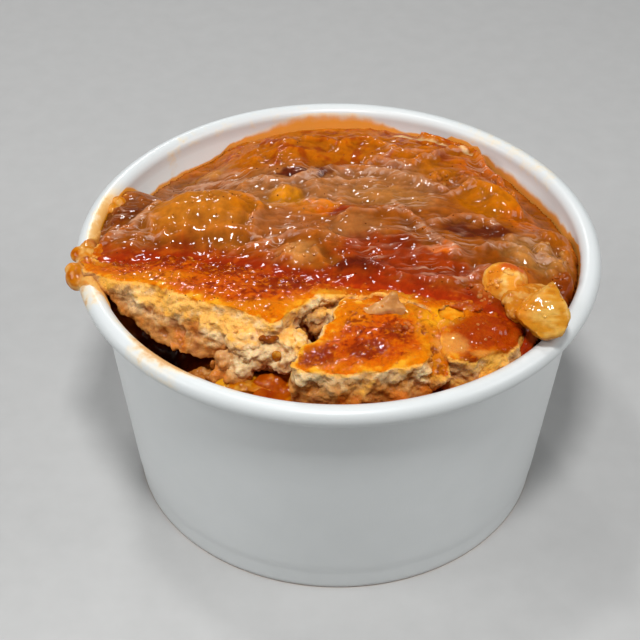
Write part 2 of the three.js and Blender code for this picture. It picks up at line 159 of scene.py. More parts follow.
# %% Shader helpers
class Value:
    """A number that varies over the surface: a socket with arithmetic."""

    def __init__(self, finish, socket):
        self.finish = finish
        self.socket = socket

    def _math(self, operation, *values):
        return self.finish.number("ShaderNodeMath", {"operation": operation}, *values)

    def __add__(self, other):
        return self._math("ADD", self, other)

    __radd__ = __add__

    def __mul__(self, other):
        return self._math("MULTIPLY", self, other)

    __rmul__ = __mul__

    def __sub__(self, other):
        return self._math("SUBTRACT", self, other)

    def __rsub__(self, other):
        return self._math("SUBTRACT", other, self)

    def most(self, other):
        """The larger of two values."""
        return self._math("MAXIMUM", self, other)

    def between(self, low, high):
        """0 below low, 1 above high, eased between them."""
        settings = {"interpolation_type": "SMOOTHSTEP"}
        node = self.finish.node("ShaderNodeMapRange", settings, Value=self)
        node.inputs["From Min"].default_value = low
        node.inputs["From Max"].default_value = high
        return Value(self.finish, node.outputs["Result"])


class Finish:
    """A material that is built node by node."""

    def __init__(self, name, **constants):
        self.material = bpy.data.materials.new(name)
        self.material.use_nodes = True
        self.tree = self.material.node_tree
        self.shader = self.tree.nodes["Principled BSDF"]
        for socket, value in constants.items():
            self.shader.inputs[socket.replace("_", " ")].default_value = value

    def _feed(self, socket, value):
        if isinstance(value, Value):
            self.tree.links.new(value.socket, socket)
        elif isinstance(value, bpy.types.NodeSocket):
            self.tree.links.new(value, socket)
        elif value is not None:
            if socket.type == "RGBA" and len(value) == 3:
                value = (*value, 1)
            socket.default_value = value

    def node(self, kind, settings=None, **inputs):
        """Any node: its type, its settings, then the values or links of its sockets."""
        node = self.tree.nodes.new(kind)
        for name, value in (settings or {}).items():
            setattr(node, name, value)
        for name, value in inputs.items():
            self._feed(node.inputs[name.replace("_", " ")], value)
        return node

    def number(self, kind, settings, *values):
        """A node whose sockets are fed in order, as the value of its first output."""
        node = self.node(kind, settings)
        for socket, value in zip(node.inputs, values):
            self._feed(socket, value)
        return Value(self, node.outputs[0])

    def attribute(self, name):
        """A number stored on the mesh's points."""
        node = self.node("ShaderNodeAttribute", {"attribute_name": name})
        return Value(self, node.outputs["Fac"])

    def place(self, stretch=(1, 1, 1), along=None):
        """The point in millimetres, stretched; or a point stored on the mesh."""
        scale = self.node("ShaderNodeVectorMath", {"operation": "MULTIPLY"})
        if along:
            node = self.node("ShaderNodeAttribute", {"attribute_name": along})
            self._feed(scale.inputs[0], node.outputs["Vector"])
            scale.inputs[1].default_value = stretch
        else:
            node = self.node("ShaderNodeTexCoord")
            self._feed(scale.inputs[0], node.outputs["Object"])
            scale.inputs[1].default_value = tuple(s / MM for s in stretch)
        return scale.outputs["Vector"]

    def noise(self, grain, detail=3.0, stretch=(1, 1, 1), shift=0.0, along=None):
        """Cloudy noise from 0 to 1, whose blobs are about grain millimetres across."""
        settings = {"noise_dimensions": "4D"}
        node = self.node("ShaderNodeTexNoise", settings, Vector=self.place(stretch, along))
        self._feed(node.inputs["Scale"], 1 / grain)
        self._feed(node.inputs["Detail"], detail)
        self._feed(node.inputs["W"], shift)
        return Value(self, node.outputs["Fac"])

    def lines(self, value, half):
        """1 on thin lines, where a noise crosses its middle."""
        off = value - 0.5
        return 1 - (off * off).between(0.0, half * half)

    def cells(self, grain):
        """Distance to the nearest of scattered points, about grain millimetres apart."""
        node = self.node("ShaderNodeTexVoronoi", {"feature": "F1"}, Vector=self.place())
        self._feed(node.inputs["Scale"], 1 / grain)
        return Value(self, node.outputs["Distance"])

    def mix(self, share, first, second):
        """Two colours mixed: first at 0, second at 1."""
        node = self.node("ShaderNodeMix", {"data_type": "RGBA"})
        self._feed(node.inputs["Factor"], share)
        self._feed(node.inputs[6], first)
        self._feed(node.inputs[7], second)
        return node.outputs[2]

    def shade(self, colour, amount):
        """A colour made darker or lighter by an amount that varies."""
        node = self.node("ShaderNodeVectorMath", {"operation": "SCALE"})
        self._feed(node.inputs[0], colour)
        self._feed(node.inputs["Scale"], amount)
        return node.outputs["Vector"]

    def bump(self, height, distance, strength=1.0):
        """Fine relief of the given height in millimetres."""
        node = self.node("ShaderNodeBump", {}, Height=height, Strength=strength)
        node.inputs["Distance"].default_value = distance * MM
        return node.outputs["Normal"]

    def set(self, **sockets):
        """Feeds the shader's sockets."""
        for name, value in sockets.items():
            self._feed(self.shader.inputs[name.replace("_", " ")], value)
        return self.material


def srgb(red, green, blue):
    """A colour as a painter reads it, from 0 to 255, as the light it reflects."""
    def light(value):
        value /= 255
        return value / 12.92 if value <= 0.04045 else ((value + 0.055) / 1.055) ** 2.4
    return (light(red), light(green), light(blue))


def lit(red, green, blue):
    """The paint that looks like a colour once the studio lights and a wet gloss lie on it."""
    return tuple(max(value / 1.12 - 0.006, 0.001) for value in srgb(red, green, blue))


# %% [markdown]
# The floor is matt paper. It would look like plastic in one flat grey, so two greys are mixed in clouds.

# %% Floor finish
pale = Finish("floor_paper", Roughness=0.8)
grain = pale.noise(6.0)
floor.data.materials.append(pale.set(Base_Color=pale.mix(grain, srgb(176, 176, 175), srgb(186, 186, 185))))

# %% [markdown]
# ## Working by hand
#
# A few helpers are used all the time. They make one object active, add a modifier and apply it, read or
# move all points of a mesh at once, and give a finished piece its material and its body.


# %% Mesh helpers
def only(piece):
    """Selects one object and makes it active."""
    bpy.ops.object.select_all(action="DESELECT")
    piece.select_set(True)
    bpy.context.view_layer.objects.active = piece


def finish_with(piece, kind, **settings):
    """Adds a modifier and applies it."""
    only(piece)
    modifier = piece.modifiers.new(kind.lower(), kind)
    for name, value in settings.items():
        setattr(modifier, name, value)
    bpy.ops.object.modifier_apply(modifier=modifier.name)


def points_of(piece):
    """All points of a mesh, in millimetres."""
    flat = np.empty(len(piece.data.vertices) * 3)
    piece.data.vertices.foreach_get("co", flat)
    return flat.reshape(-1, 3) / MM


def move_points(piece, points):
    """Puts the points of a mesh at new places, in millimetres."""
    piece.data.vertices.foreach_set("co", (points * MM).ravel())
    piece.data.update()


def normals_of(piece):
    """The direction that the surface faces at each point."""
    flat = np.empty(len(piece.data.vertices) * 3)
    piece.data.vertex_normals.foreach_get("vector", flat)
    return flat.reshape(-1, 3)


def middle_of(spots):
    """The middle of the box round some points."""
    return (spots.min(axis=0) + spots.max(axis=0)) / 2


def keep(piece, name, values):
    """Stores a number for each point, which a finish can read."""
    layer = piece.data.attributes.new(name, "FLOAT", "POINT")
    layer.data.foreach_set("value", np.asarray(values, np.float32))


def merged_copy(node, name):
    """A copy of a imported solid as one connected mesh."""
    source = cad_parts[node]
    piece = bpy.data.objects.new(name, source.data.copy())
    scene.collection.objects.link(piece)
    piece.data.materials.clear()
    only(piece)
    bpy.ops.object.mode_set(mode="EDIT")
    bpy.ops.mesh.select_all(action="SELECT")
    bpy.ops.mesh.remove_doubles(threshold=1e-6)
    bpy.ops.object.mode_set(mode="OBJECT")
    return piece


def done(piece, material, slot, *nodes):
    """The last step of each piece: its finish, the body that it rides on and what it stands for."""
    piece.data.materials.clear()
    piece.data.materials.append(material)
    only(piece)
    bpy.ops.object.shade_smooth()
    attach(piece, "root")
    if nodes:
        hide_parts(*nodes)
    print(piece.name, len(piece.data.loop_triangles) or len(piece.data.polygons), "faces")


# %% [markdown]
# Food is uneven everywhere, so shapes and colours are both driven by noise that is read at the points.
# One helper eases a value between two limits, and the others read Blender's noises.


# %% Noise helpers
def smooth(low, high, value):
    """0 below low, 1 above high, eased between them."""
    share = np.clip((value - low) / (high - low), 0, 1)
    return share * share * (3 - 2 * share)


def field(points, sample, grain, shift=0.0):
    """One of Blender's noises, read at each point; its blobs are about grain millimetres across."""
    return np.array([sample(Vector(p)) for p in points / grain + shift])


def cloud(points, grain, shift=0.0, octaves=3):
    """Cloudy noise around 0."""
    return field(points, lambda p: noise.fractal(p, 0.9, 2.0, octaves), grain, shift)


def cell(points, grain, shift=0.0):
    """Distance to the nearest of scattered points, in units of grain."""
    return field(points, lambda p: noise.voronoi(p)[0][0], grain, shift)


# %% [markdown]
# ## Paper cup
#
# The wall of the cup is one sheet of paper. It could be turned as a solid, but a hand would start from
# its foot: a ring is extruded upwards step by step, each new ring scaled to its radius, round the rolled
# rim and back down inside. The same helper makes the recessed bottom.


# %% Rings
def raise_rings(name, profile, segments=224):
    """Extrudes a circle along a profile of [radius, height], and closes it on itself."""
    radius, height = profile[0]
    bpy.ops.mesh.primitive_circle_add(
        vertices=segments, radius=radius * MM, location=(0, 0, height * MM), fill_type="NOTHING")
    piece = bpy.context.object
    piece.name = name
    bpy.ops.object.transform_apply(location=True)
    bpy.ops.object.mode_set(mode="EDIT")
    bpy.ops.mesh.select_all(action="SELECT")
    for new_radius, new_height in profile[1:]:
        rise = (0, 0, (new_height - height) * MM)
        bpy.ops.mesh.extrude_edges_move(TRANSFORM_OT_translate={"value": rise})
        share = new_radius / radius
        bpy.ops.transform.resize(value=(share, share, 1), center_override=(0, 0, new_height * MM))
        radius, height = new_radius, new_height
    bpy.ops.mesh.select_all(action="SELECT")
    bpy.ops.mesh.remove_doubles(threshold=1e-6)
    bpy.ops.mesh.normals_make_consistent(inside=False)
    bpy.ops.object.mode_set(mode="OBJECT")
    return piece


def roll_arc(radius, start, end, steps):
    """Points round the rolled rim's section, from one direction to another, in degrees."""
    turns = np.radians(np.linspace(start, end, steps + 1))
    return [(RIM - ROLL + radius * math.cos(t), HEIGHT - ROLL + radius * math.sin(t)) for t in turns]


def climb(low, high, steps, inwards=0.0):
    """Points up the wall, on its outside or a little inwards of it."""
    return [(float(wall_radius(h)) - inwards, h) for h in np.linspace(low, high, steps + 1)]


# %% [markdown]
# The outline of the wall runs up the outside, into the roll and back round it, and down the inside to the
# foot, where the paper is folded up. It is one closed line, so the wall comes out as one closed sheet.

# %% The wall with its rolled rim
FOLD = 6.0  # height of the paper folded up inside the foot
NECK_HEIGHT = HEIGHT - 2 * ROLL
gap = 1.2
inner_foot = FOOT - PAPER - gap
profile = [
    (inner_foot - PAPER + 0.1, 0.15), (inner_foot - PAPER + 0.3, 0), (FOOT - 0.35, 0), (FOOT, 0.3),
    *climb(1.2, FOLD - 0.3, 4), *climb(FOLD + 0.5, NECK_HEIGHT - 0.2, 26, inwards=-0.12),
    *roll_arc(ROLL - PAPER, 205, -118, 12), *roll_arc(ROLL, -122, 180, 28),
    *climb(NECK_HEIGHT, PAPER + 0.6, 20, inwards=PAPER),
    (inner_foot, PAPER), (inner_foot + 0.5, FOLD), (inner_foot - PAPER + 0.5, FOLD),
    (inner_foot - PAPER + 0.1, 0.15),
]
cup_wall = raise_rings("paper_wall", profile)

# %% [markdown]
# No paper rim is truly round: it bulges and dips a little, and where the sheet overlaps at the back its
# edge stands proud of the wall as a seam. Both are moved into the points.


# %% Unevenness and seam
def turned(spots):
    """Direction in radians and distance from the cup's axis, of each point."""
    return np.arctan2(spots[:, 1], spots[:, 0]), np.hypot(spots[:, 0], spots[:, 1])


spots = points_of(cup_wall)
angle, radius = turned(spots)
top_share = smooth(30, HEIGHT, spots[:, 2])
wander = 0.18 * np.sin(2 * angle + 0.6) + 0.09 * np.sin(3 * angle + 2) + 0.05 * np.sin(7 * angle)
seam_angle = math.radians(68)
past_seam = np.mod(angle - seam_angle, 2 * math.pi)
seam = 0.35 * smooth(0.0, 0.012, past_seam) * (1 - smooth(0.10, 0.16, past_seam))
outside = radius > wall_radius(spots[:, 2]) - 0.3
out = wander * top_share * 0.6 + seam * outside * (spots[:, 2] < HEIGHT - ROLL)
spots[:, 0] += out * np.cos(angle)
spots[:, 1] += out * np.sin(angle)
spots[:, 2] += 0.10 * np.sin(2 * angle + 1.9) * top_share * (spots[:, 2] > 50)
move_points(cup_wall, spots)
print(f"rim bulges up to {np.abs(wander).max() * 0.6:.2f} mm")

# %% [markdown]
# ## Recessed bottom
#
# The bottom is a disc with a skirt that slips into the fold of the wall. Its outline runs up the outside
# of the skirt, in to the middle and back out below, and down the inside of the skirt. The ring at the
# middle is finer than a hair, so the disc needs no cap.

# %% Bottom disc
FLOOR_TOP = 8.0
disc_profile = [
    (inner_foot + 0.30, 0.9), (inner_foot + 0.90, 0.9), (inner_foot + 1.55, FLOOR_TOP - 0.6),
    (inner_foot + 1.1, FLOOR_TOP), (30, FLOOR_TOP), (0.01, FLOOR_TOP),
    (0.01, FLOOR_TOP - PAPER), (30, FLOOR_TOP - PAPER), (inner_foot + 0.4, FLOOR_TOP - PAPER),
    (inner_foot + 0.1, FLOOR_TOP - 1.4), (inner_foot + 0.30, 0.9),
]
cup_disc = raise_rings("paper_bottom", disc_profile, segments=160)
board = Finish("paper_board", Roughness=0.7)
speckle = board.noise(0.5, 4.0)
board_colour = board.mix(speckle, srgb(222, 222, 216), srgb(232, 232, 227))
board.set(Base_Color=board_colour, Normal=board.bump(speckle, 0.04))
done(cup_disc, board.material, "cup_board", "cup_bottom")

# %% [markdown]
# ## Painting points
#
# Food has no pattern that repeats, so its colours are laid on point by point, as glazes are laid over
# one another: a base first, then each patch with a soft, ragged edge. A finish reads the result as an
# attribute and adds the finest grain.


# %% Paint helpers
def base_coat(count, colour):
    """One colour on every point."""
    return np.tile(np.array(colour), (count, 1))


def lay(colours, colour, share):
    """Lays a colour over the others, as thickly as share says."""
    share = np.clip(share, 0, 1)[:, None]
    return colours * (1 - share) + np.array(colour) * share


def lay_all(colours, *coats):
    """Lays several colours over one another, each with its share."""
    for colour, share in coats:
        colours = lay(colours, colour, share)
    return colours


def keep_colours(piece, colours):
    """Stores the colours on the mesh's points."""
    layer = piece.data.attributes.new("tint", "FLOAT_COLOR", "POINT")
    flat = np.ones((len(colours), 4), np.float32)
    flat[:, :3] = colours
    layer.data.foreach_set("color", flat.ravel())


def colours_of(piece):
    """The colours stored on the mesh's points."""
    flat = np.empty(len(piece.data.vertices) * 4, np.float32)
    piece.data.attributes["tint"].data.foreach_get("color", flat)
    return flat.reshape(-1, 4)[:, :3]


def patch(x, y, centre, reach, turn=0.0):
    """1 at the middle of an oval patch, falling to 0 past its reach."""
    cos, sin = math.cos(math.radians(turn)), math.sin(math.radians(turn))
    dx, dy = x - centre[0], y - centre[1]
    across, up = dx * cos + dy * sin, dy * cos - dx * sin
    return 1 - smooth(0.6, 1.35, np.hypot(across / reach[0], up / reach[1]))


def around(angle, centre, half, soft):
    """1 near a direction round the cup, given in degrees; 0 away from it."""
    off = np.abs((np.degrees(angle) - centre + 180) % 360 - 180)
    return 1 - smooth(half, half + soft, off)


def line_distance(x, y, line):
    """Distance to a bent line."""
    nearest = np.full(len(x), 1e9)
    for (ax, ay), (bx, by) in zip(line, line[1:]):
        along = ((x - ax) * (bx - ax) + (y - ay) * (by - ay)) / ((bx - ax) ** 2 + (by - ay) ** 2)
        along = np.clip(along, 0, 1)
        nearest = np.minimum(nearest, np.hypot(x - ax - along * (bx - ax), y - ay - along * (by - ay)))
    return nearest


# %% [markdown]
# Two kinds of tree answer questions about surfaces: one finds what lies straight below a point, and one
# finds the nearest of many points.

# %% Trees
DOWN = Vector((0, 0, -1))
CAST_FROM = 90  # height from which rays are cast down


def cast_tree(*pieces):
    """A tree for ray casts on some meshes, in millimetres."""
    points, faces = [], []
    for piece in pieces:
        start = len(points)
        points += [tuple(v.co / MM) for v in piece.data.vertices]
        faces += [[start + corner for corner in face.vertices] for face in piece.data.polygons]
    return bvhtree.BVHTree.FromPolygons(points, faces)


def heights_on(nodes, x, y, missing):
    """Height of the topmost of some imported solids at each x, y."""
    tree = cast_tree(*(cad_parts[node] for node in nodes))
    found = []
    for spot_x, spot_y in zip(x, y):
        hit = tree.ray_cast(Vector((spot_x, spot_y, CAST_FROM)), DOWN)[0]
        found.append(missing if hit is None else hit.z)
    return np.array(found)


def nearest_tree(points):
    """A tree that finds the nearest of some points."""
    tree = kdtree.KDTree(len(points))
    for index, point in enumerate(points):
        tree.insert(Vector(point), index)
    tree.balance()
    return tree


# %% [markdown]
# ## Torn cake
#
# The cake is the heart of the dish: a browned crust over pale, porous crumb, torn open towards the
# front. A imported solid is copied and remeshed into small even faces. Its corners are rounded, then
# crust and crumb get their own relief along the normals: fine grains on the crust, lumps and pores on
# the crumb. Where the crust may brown depends on the front edge of the sauce, so that line comes first.

# %% Front edge of the sauce
EDGE = [(-60, -5), (-52, -9), (-45, -9), (-38, -7.5), (-31, -8.5), (-24, -10), (-17, -13), (-10, -16.5),
        (-5, -20), (2, -22), (9, -22.5), (16, -23), (22, -25), (29, -26.5), (34, -29), (38, -34), (42, -40),
        (60, -40)]
edge_x, edge_y = np.array(EDGE).T


def past_edge(x, y):
    """How far behind the front edge of the sauce a point lies."""
    return y - np.interp(x, edge_x, edge_y)


print(len(EDGE), "points on the edge of the sauce")

# %% [markdown]
# Torn crumb is clumps of soft crumbs with ragged holes between them. A sculptor would tap it with a
# brush; here the taps are noises of several sizes, so that every torn face gets the same crumb. A few
# round bumps stand on the crust, and tufts of pale crumb stand out of the torn face.


# %% Cake relief
def crumb_relief(spots):
    """Relief of torn crumb: soft clumps, rounded crumbs of two sizes, ragged holes; and its hollows, for
    painted shade.
    """
    ragged = spots + 0.8 * np.column_stack([cloud(spots, 1.8, shift) for shift in (201.0, 202.0, 203.0)])
    holes = (1 - smooth(0.14, 0.46, cell(ragged, 3.8, 1.0))) * smooth(0.0, 0.4, cloud(spots, 8.0, 14.0))
    holes = holes * (1 - 0.8 * smooth(17, 21, spots[:, 0]))
    knobs = 0.42 - cell(ragged, 2.3, 19.0)
    grains = 0.42 - cell(ragged, 1.05, 29.0)
    soft = 0.6 * cloud(spots, 5.5, 7.0) + 0.5 * cloud(spots, 1.8, 34.0, 2) + 0.25 * cloud(spots, 0.8, 4.0, 2)
    relief = 0.3 + soft + 0.4 * knobs + 0.45 * grains - 0.9 * holes
    return relief, 1 - smooth(-0.4, 0.6, relief)


PEBBLES = [  # x, y, half width, height
    (-36.7, -8.4, 1.7, 0.9), (-33.1, -8.8, 1.6, 0.9), (-29.5, -12, 1.4, 0.5), (-22, -14, 1.6, 0.5),
    (-14, -19, 1.7, 0.6), (-8, -19.5, 1.3, 0.5), (-4, -21.5, 1.4, 0.5), (26, -28.5, 2.2, 0.6),
    (33, -34, 1.6, 0.5), (28, -38, 1.5, 0.5), (21, -37, 1.4, 0.5), (4, -38, 1.6, 0.5), (9, -42, 1.5, 0.5)]
TUFTS = [  # centre, reach
    ((-32.7, -26.4, 64), (2.6, 3, 3)), ((-40.7, -22.2, 62.2), (3, 3, 3)), ((-18.5, -33, 62), (6.5, 4.5, 3.4)),
    ((-5, -26, 65), (5, 3, 2)), ((-25.5, -31, 61.5), (4, 3.4, 2.8)), ((-18, -37, 60.4), (3, 3, 2.6)),
    ((17, -46.6, 63), (2.4, 2, 3.2)), ((-9, -36.5, 63), (3, 3, 1.6))]


def reached(spots, centre, reach):
    """Distance from a centre, as a share of the reach: 1 at the end of the reach."""
    return np.linalg.norm((spots - np.array(centre)) / np.array(reach), axis=1)


def baked_piece(piece, voxel, rounding=14, foot=(57.0, 60.5)):
    """Gives a cake solid its crust and crumb; returns its shares of crust, fringe, painted shade in the
    crumb's hollows and wet foot.
    """
    finish_with(piece, "REMESH", mode="VOXEL", voxel_size=voxel * MM)
    finish_with(piece, "SMOOTH", factor=0.8, iterations=rounding)
    spots, facing = points_of(piece), normals_of(piece)
    level = facing[:, 2] + 0.14 * cloud(spots, 2.4) + 0.05 * cloud(spots, 0.9, 8.0, 2)
    low_side = smooth(19, 24, spots[:, 0])  # at the right the crust runs down to the rim
    high = smooth(60.0, 62.5, spots[:, 2] + 3.2 * low_side)
    crust = smooth(0.52, 0.82, level + 0.36 * low_side) * high
    fringe = smooth(0.0, 0.6, level + 0.2 * low_side) * high
    relief, hollow_shade = crumb_relief(spots)
    grains = 0.5 * cloud(spots, 4.5, 2.0) + 0.16 * cloud(spots, 1.5, 4.0, 2)
    grains = grains - 0.3 * cell(spots, 1.4, 9.0) + 0.15
    for pebble_x, pebble_y, half, height in PEBBLES:
        reach = np.hypot(spots[:, 0] - pebble_x, spots[:, 1] - pebble_y) / half
        grains = grains + height * np.sqrt(np.clip(1 - reach * reach, 0, 1))
    wet = 1 - smooth(*foot, spots[:, 2] + 1.6 * cloud(spots, 4.5, 6.0))
    relief = relief * (1 - 0.3 * wet) * (1 - 0.5 * fringe)
    relief = relief + 0.7 * cloud(spots, 3.2, 24.0) * smooth(57, 60, spots[:, 2])
    for centre, reach in TUFTS:
        near = 1 - smooth(0.4, 1.1, reached(spots, centre, reach))
        relief = relief + (0.7 + 0.6 * cloud(spots, 1.5, 44.0)) * near
    moved = crust * grains + (1 - crust) * relief
    move_points(piece, spots + facing * moved[:, None])
    return crust, fringe, hollow_shade * (1 - crust) * (1 - 0.7 * fringe), wet


def tear_distance(piece, crust):
    """How far each crust point lies from the torn faces."""
    spots = points_of(piece)
    high = spots[:, 2] > 59
    tree = nearest_tree(spots[(crust < 0.4) & high][::4])
    measured = (crust > 0.3) & high
    return np.array([tree.find(Vector(s))[2] if m else 0.0 for s, m in zip(spots, measured)])


# %% [markdown]
# Heat colours the crust by how far it lies from the tear: golden at the edge, then orange-brown, and
# almost black-red where the sauce has baked onto it. The crumb is cream, with painted shade in its pores
# and hollows, and soaked with sauce along its foot.

# %% Cake colours
def cake_colours(piece, shares, tear, dark_spots=(), golden_spots=()):
    """The colours of crust and crumb."""
    crust, fringe, hollow_shade, wet = shares
    spots = points_of(piece)
    x, y = spots[:, 0], spots[:, 1]
    blotch = cloud(spots, 4.5, 11.0)
    mottle = cloud(spots, 1.6, 13.0)
    fine = cloud(spots, 0.7, 17.0, 2)
    soaked_side = np.maximum(1 - smooth(-48, -40, x), 0.75 * smooth(17, 22, x))
    soaked_side = np.maximum(soaked_side, 0.3 * smooth(-8, -3, x) * smooth(-35, -39, y))
    colours = lay_all(
        base_coat(len(spots), srgb(206, 162, 108)),
        (srgb(230, 202, 154), 0.92 * smooth(-0.2, 0.35, blotch + 0.4 * mottle)),
        (srgb(196, 126, 52), 0.75 * smooth(0.05, 0.6, -blotch + 0.5 * mottle)),
        (srgb(198, 130, 66), 0.7 * soaked_side),
        (srgb(192, 126, 56), 0.9 * smooth(0.1, 0.8, wet + 0.4 * blotch)),
        (srgb(216, 112, 22), 0.6 * smooth(0.4, 0.9, wet - 0.6 * mottle) * smooth(0.0, 0.5, -blotch)),
        (srgb(168, 96, 52), 0.6 * smooth(0.5, 1.0, wet + 0.6 * mottle) * smooth(0.0, 0.5, blotch)))
    for centre, reach in TUFTS:
        near = 1 - smooth(0.5, 1.1, reached(spots, centre, reach) + 0.3 * mottle)
        colours = lay(colours, srgb(248, 220, 168), 0.85 * near)
    for centre, reach in STAINS:
        near = 1 - smooth(0.4, 1.2, reached(spots, centre, reach) + 0.5 * mottle)
        colours = lay(colours, srgb(158, 82, 24), 0.85 * near)
    top = smooth(0.2, 0.75, crust + 0.15 * mottle * (crust > 0.05))
    browned = tear + 2.2 * blotch + 1.6 * mottle
    near_sauce = smooth(-8, -1.5, past_edge(x, y) + 1.2 * blotch)
    colours = lay_all(
        colours,
        # Painted shade: tan-brown in the hollows of the crumb.
        (srgb(150, 80, 26), 0.75 * smooth(0.45, 1.05, hollow_shade + 0.25 * mottle)),
        (srgb(244, 178, 72), 0.8 * smooth(0.05, 0.7, fringe * (1 + 0.8 * mottle))),
        (lit(240, 166, 44), top),
        (lit(224, 116, 10), top * smooth(-0.4, 1.2, browned)),
        (lit(194, 78, 8), top * smooth(0.9, 4.0, browned)),
        (lit(164, 58, 8), 0.65 * top * near_sauce),
        (lit(170, 62, 12), 0.5 * top * smooth(21, 26, x)))
    for centre, reach in SYRUPY:
        spot = patch(x + 0.5 * mottle, y + 0.5 * blotch, centre, reach) * smooth(57, 59.5, spots[:, 2])
        colours = lay(colours, lit(216, 130, 26), 0.85 * spot)
        colours = lay(colours, lit(184, 84, 12), 0.5 * spot * smooth(0.0, 0.5, mottle))
    for centre, reach in dark_spots:
        spot = patch(x + 0.8 * mottle, y + 0.8 * blotch, centre, reach)
        burnt = smooth(-0.6, 0.5, mottle + 0.5 * fine + 0.3)
        colours = lay(colours, lit(116, 34, 4), 0.85 * top * spot * burnt)
    for centre, reach in golden_spots:
        spot = patch(x + 0.8 * mottle, y + 0.8 * blotch, centre, reach)
        colours = lay(colours, lit(222, 122, 8), 0.8 * top * spot)
    deep = smooth(0.6, 3.0, browned)
    colours = lay_all(
        colours,
        (lit(228, 118, 14), 0.55 * top * smooth(0.05, 0.55, 0.6 * fine + 0.7 * mottle)),
        (lit(118, 32, 6), 0.75 * top * deep * smooth(0.05, 0.5, -0.5 * fine - 0.9 * mottle)))
    for colour, centre, reach in RIGHT_CRUST:
        spot = patch(x + 0.7 * mottle, y + 0.7 * blotch, centre, reach)
        colours = lay(colours, colour, 0.8 * top * spot)
    stain = patch(x + 0.7 * mottle, y, (31.2, -45.4), (2.6, 1.6)) * smooth(0.0, 0.3, 0.4 + mottle)
    return lay(colours, lit(150, 46, 6), 0.75 * stain)


# %% [markdown]
# Everything that can be eaten takes its colour from its points and lets some light pass into it. Crumb is
# dry and porous; crust and soaked crumb carry a wet gloss.


# %% Cake finish
def food_finish(name, reach, **constants):
    """The start of each food finish, and its tint: red light reaches deepest into it."""
    finish = Finish(name, Specular_IOR_Level=0.0, Subsurface_Radius=reach, Coat_Roughness=0.04, **constants)
    return finish, finish.node("ShaderNodeAttribute", {"attribute_name": "tint"}).outputs["Color"]


def cake_finish(name):
    """Finish of baked cake, which is glossy where its points are wet."""
    finish, tint = food_finish(name, (0.004, 0.002, 0.0008), Subsurface_Weight=0.35)
    wet = finish.attribute("wet")
    grit = finish.noise(0.4, 4.0)
    toast = finish.noise(1.3, 4.0, shift=3.0)
    large = finish.cells(1.5).between(0.08, 0.5)
    small = finish.cells(0.6).between(0.1, 0.5)
    pit_shade = (1 - wet.between(0.0, 0.5)) * (1 - (large * 0.6 + small * 0.4))
    colour = finish.shade(tint, 0.76 + grit * 0.2 + toast * 0.32)
    # Painted shade: brown laid in the pits of the dry crumb.
    colour = finish.mix(pit_shade * 0.32, colour, srgb(158, 88, 34))
    relief = finish.bump(grit * 0.6 - pit_shade * 0.5, 0.6, 0.7)
    return finish.set(Base_Color=colour, Roughness=0.8 - wet * 0.4, Coat_Weight=wet * 0.55, Normal=relief)


# %% [markdown]
# The slab is the larger part of the cake, with its left end on the rim. Where the heat, the syrup and
# the sauce have marked it is a matter of taste, so these patches are listed one by one, in millimetres.

# %% The slab
SYRUPY = [((18, -36), (2.8, 4)), ((19.3, -43), (2.6, 4.4)), ((13.5, -30.4), (4.6, 2.4)), ((22, -32), (4, 2))]
RIGHT_CRUST = [  # colour, centre, reach
    (lit(240, 160, 30), (21, -32.4), (4.4, 2.6)), (lit(158, 56, 8), (30.5, -35.6), (8.5, 5.2)),
    (lit(220, 148, 70), (23, -40.4), (3.4, 2.6)), (lit(214, 138, 58), (30, -42.4), (3.2, 1.2))]
STAINS = [
    ((-37, -23.5, 64), (1.6, 2, 1.6)), ((-39.5, -23.6, 60.5), (1.5, 2, 1.2)),
    ((-29.4, -30.2, 60.6), (2.2, 3, 1.8)), ((-23.5, -34, 57), (2.4, 3, 1.6)),
    ((-4.5, -26, 59.5), (5, 4, 4)), ((-14.2, -34.8, 61.8), (3, 1.6, 1.1))]
DARK_CRUST = [((-36, -9.2), (5, 2.2)), ((-24, -13), (6, 4)), ((-12, -21), (6, 3)), ((-46, -11), (4, 1.6)),
              ((26.8, -43.6), (2.2, 1.6)), ((38, -30), (3, 5))]
GOLDEN_CRUST = [((-16, -30), (8, 2.6)), ((22, -31), (5, 2.6)), ((21, -40), (2, 4)), ((-40, -18.4), (10, 2.8))]
baked = cake_finish("baked_cake")


def bake(piece, node, shares, dark_spots, golden_spots):
    """Colours a part of the cake by its distance from the tear, and finishes it."""
    tear = tear_distance(piece, shares[0])
    keep_colours(piece, cake_colours(piece, shares, tear, dark_spots, golden_spots))
    keep(piece, "wet", np.clip(shares[0] * smooth(0.0, 2.5, tear) + 0.8 * shares[3], 0, 1))
    done(piece, baked, "baked_cake", node)


slab = merged_copy("cake_slab", "torn_cake")
bake(slab, "cake_slab", baked_piece(slab, 0.34), DARK_CRUST, GOLDEN_CRUST)

# %% [markdown]
# The piece torn off at the front is made like the slab, with finer voxels because it is the nearest. It
# stands deeper in the sauce, so its foot is soaked to a greater height.

# %% The piece torn off at the front
DARK_FRONT = [((-4, -46), (4, 3)), ((6, -44), (4, 2.4)), ((12, -38), (3, 3))]
GOLDEN_FRONT = [((3, -33), (4, 4)), ((16, -46), (3, 3))]
front = merged_copy("cake_front_piece", "torn_off_piece")
bake(front, "cake_front_piece", baked_piece(front, 0.3, foot=(60.0, 64.5)), DARK_FRONT, GOLDEN_FRONT)

# %% [markdown]
# ## Crumb between the pieces
#
# Where the cake tore, clumps of crumb still hang between its parts. Each clump is a few balls pressed
# into one body by remeshing, then crumbled like the torn faces.


# %% Pressed balls
def roughened(piece, height, grain, shift, octaves=3, base=0.0):
    """Moves the points of a piece in and out by cloudy noise."""
    spots, facing = points_of(piece), normals_of(piece)
    move_points(piece, spots + facing * (height * cloud(spots, grain, shift, octaves) + base)[:, None])


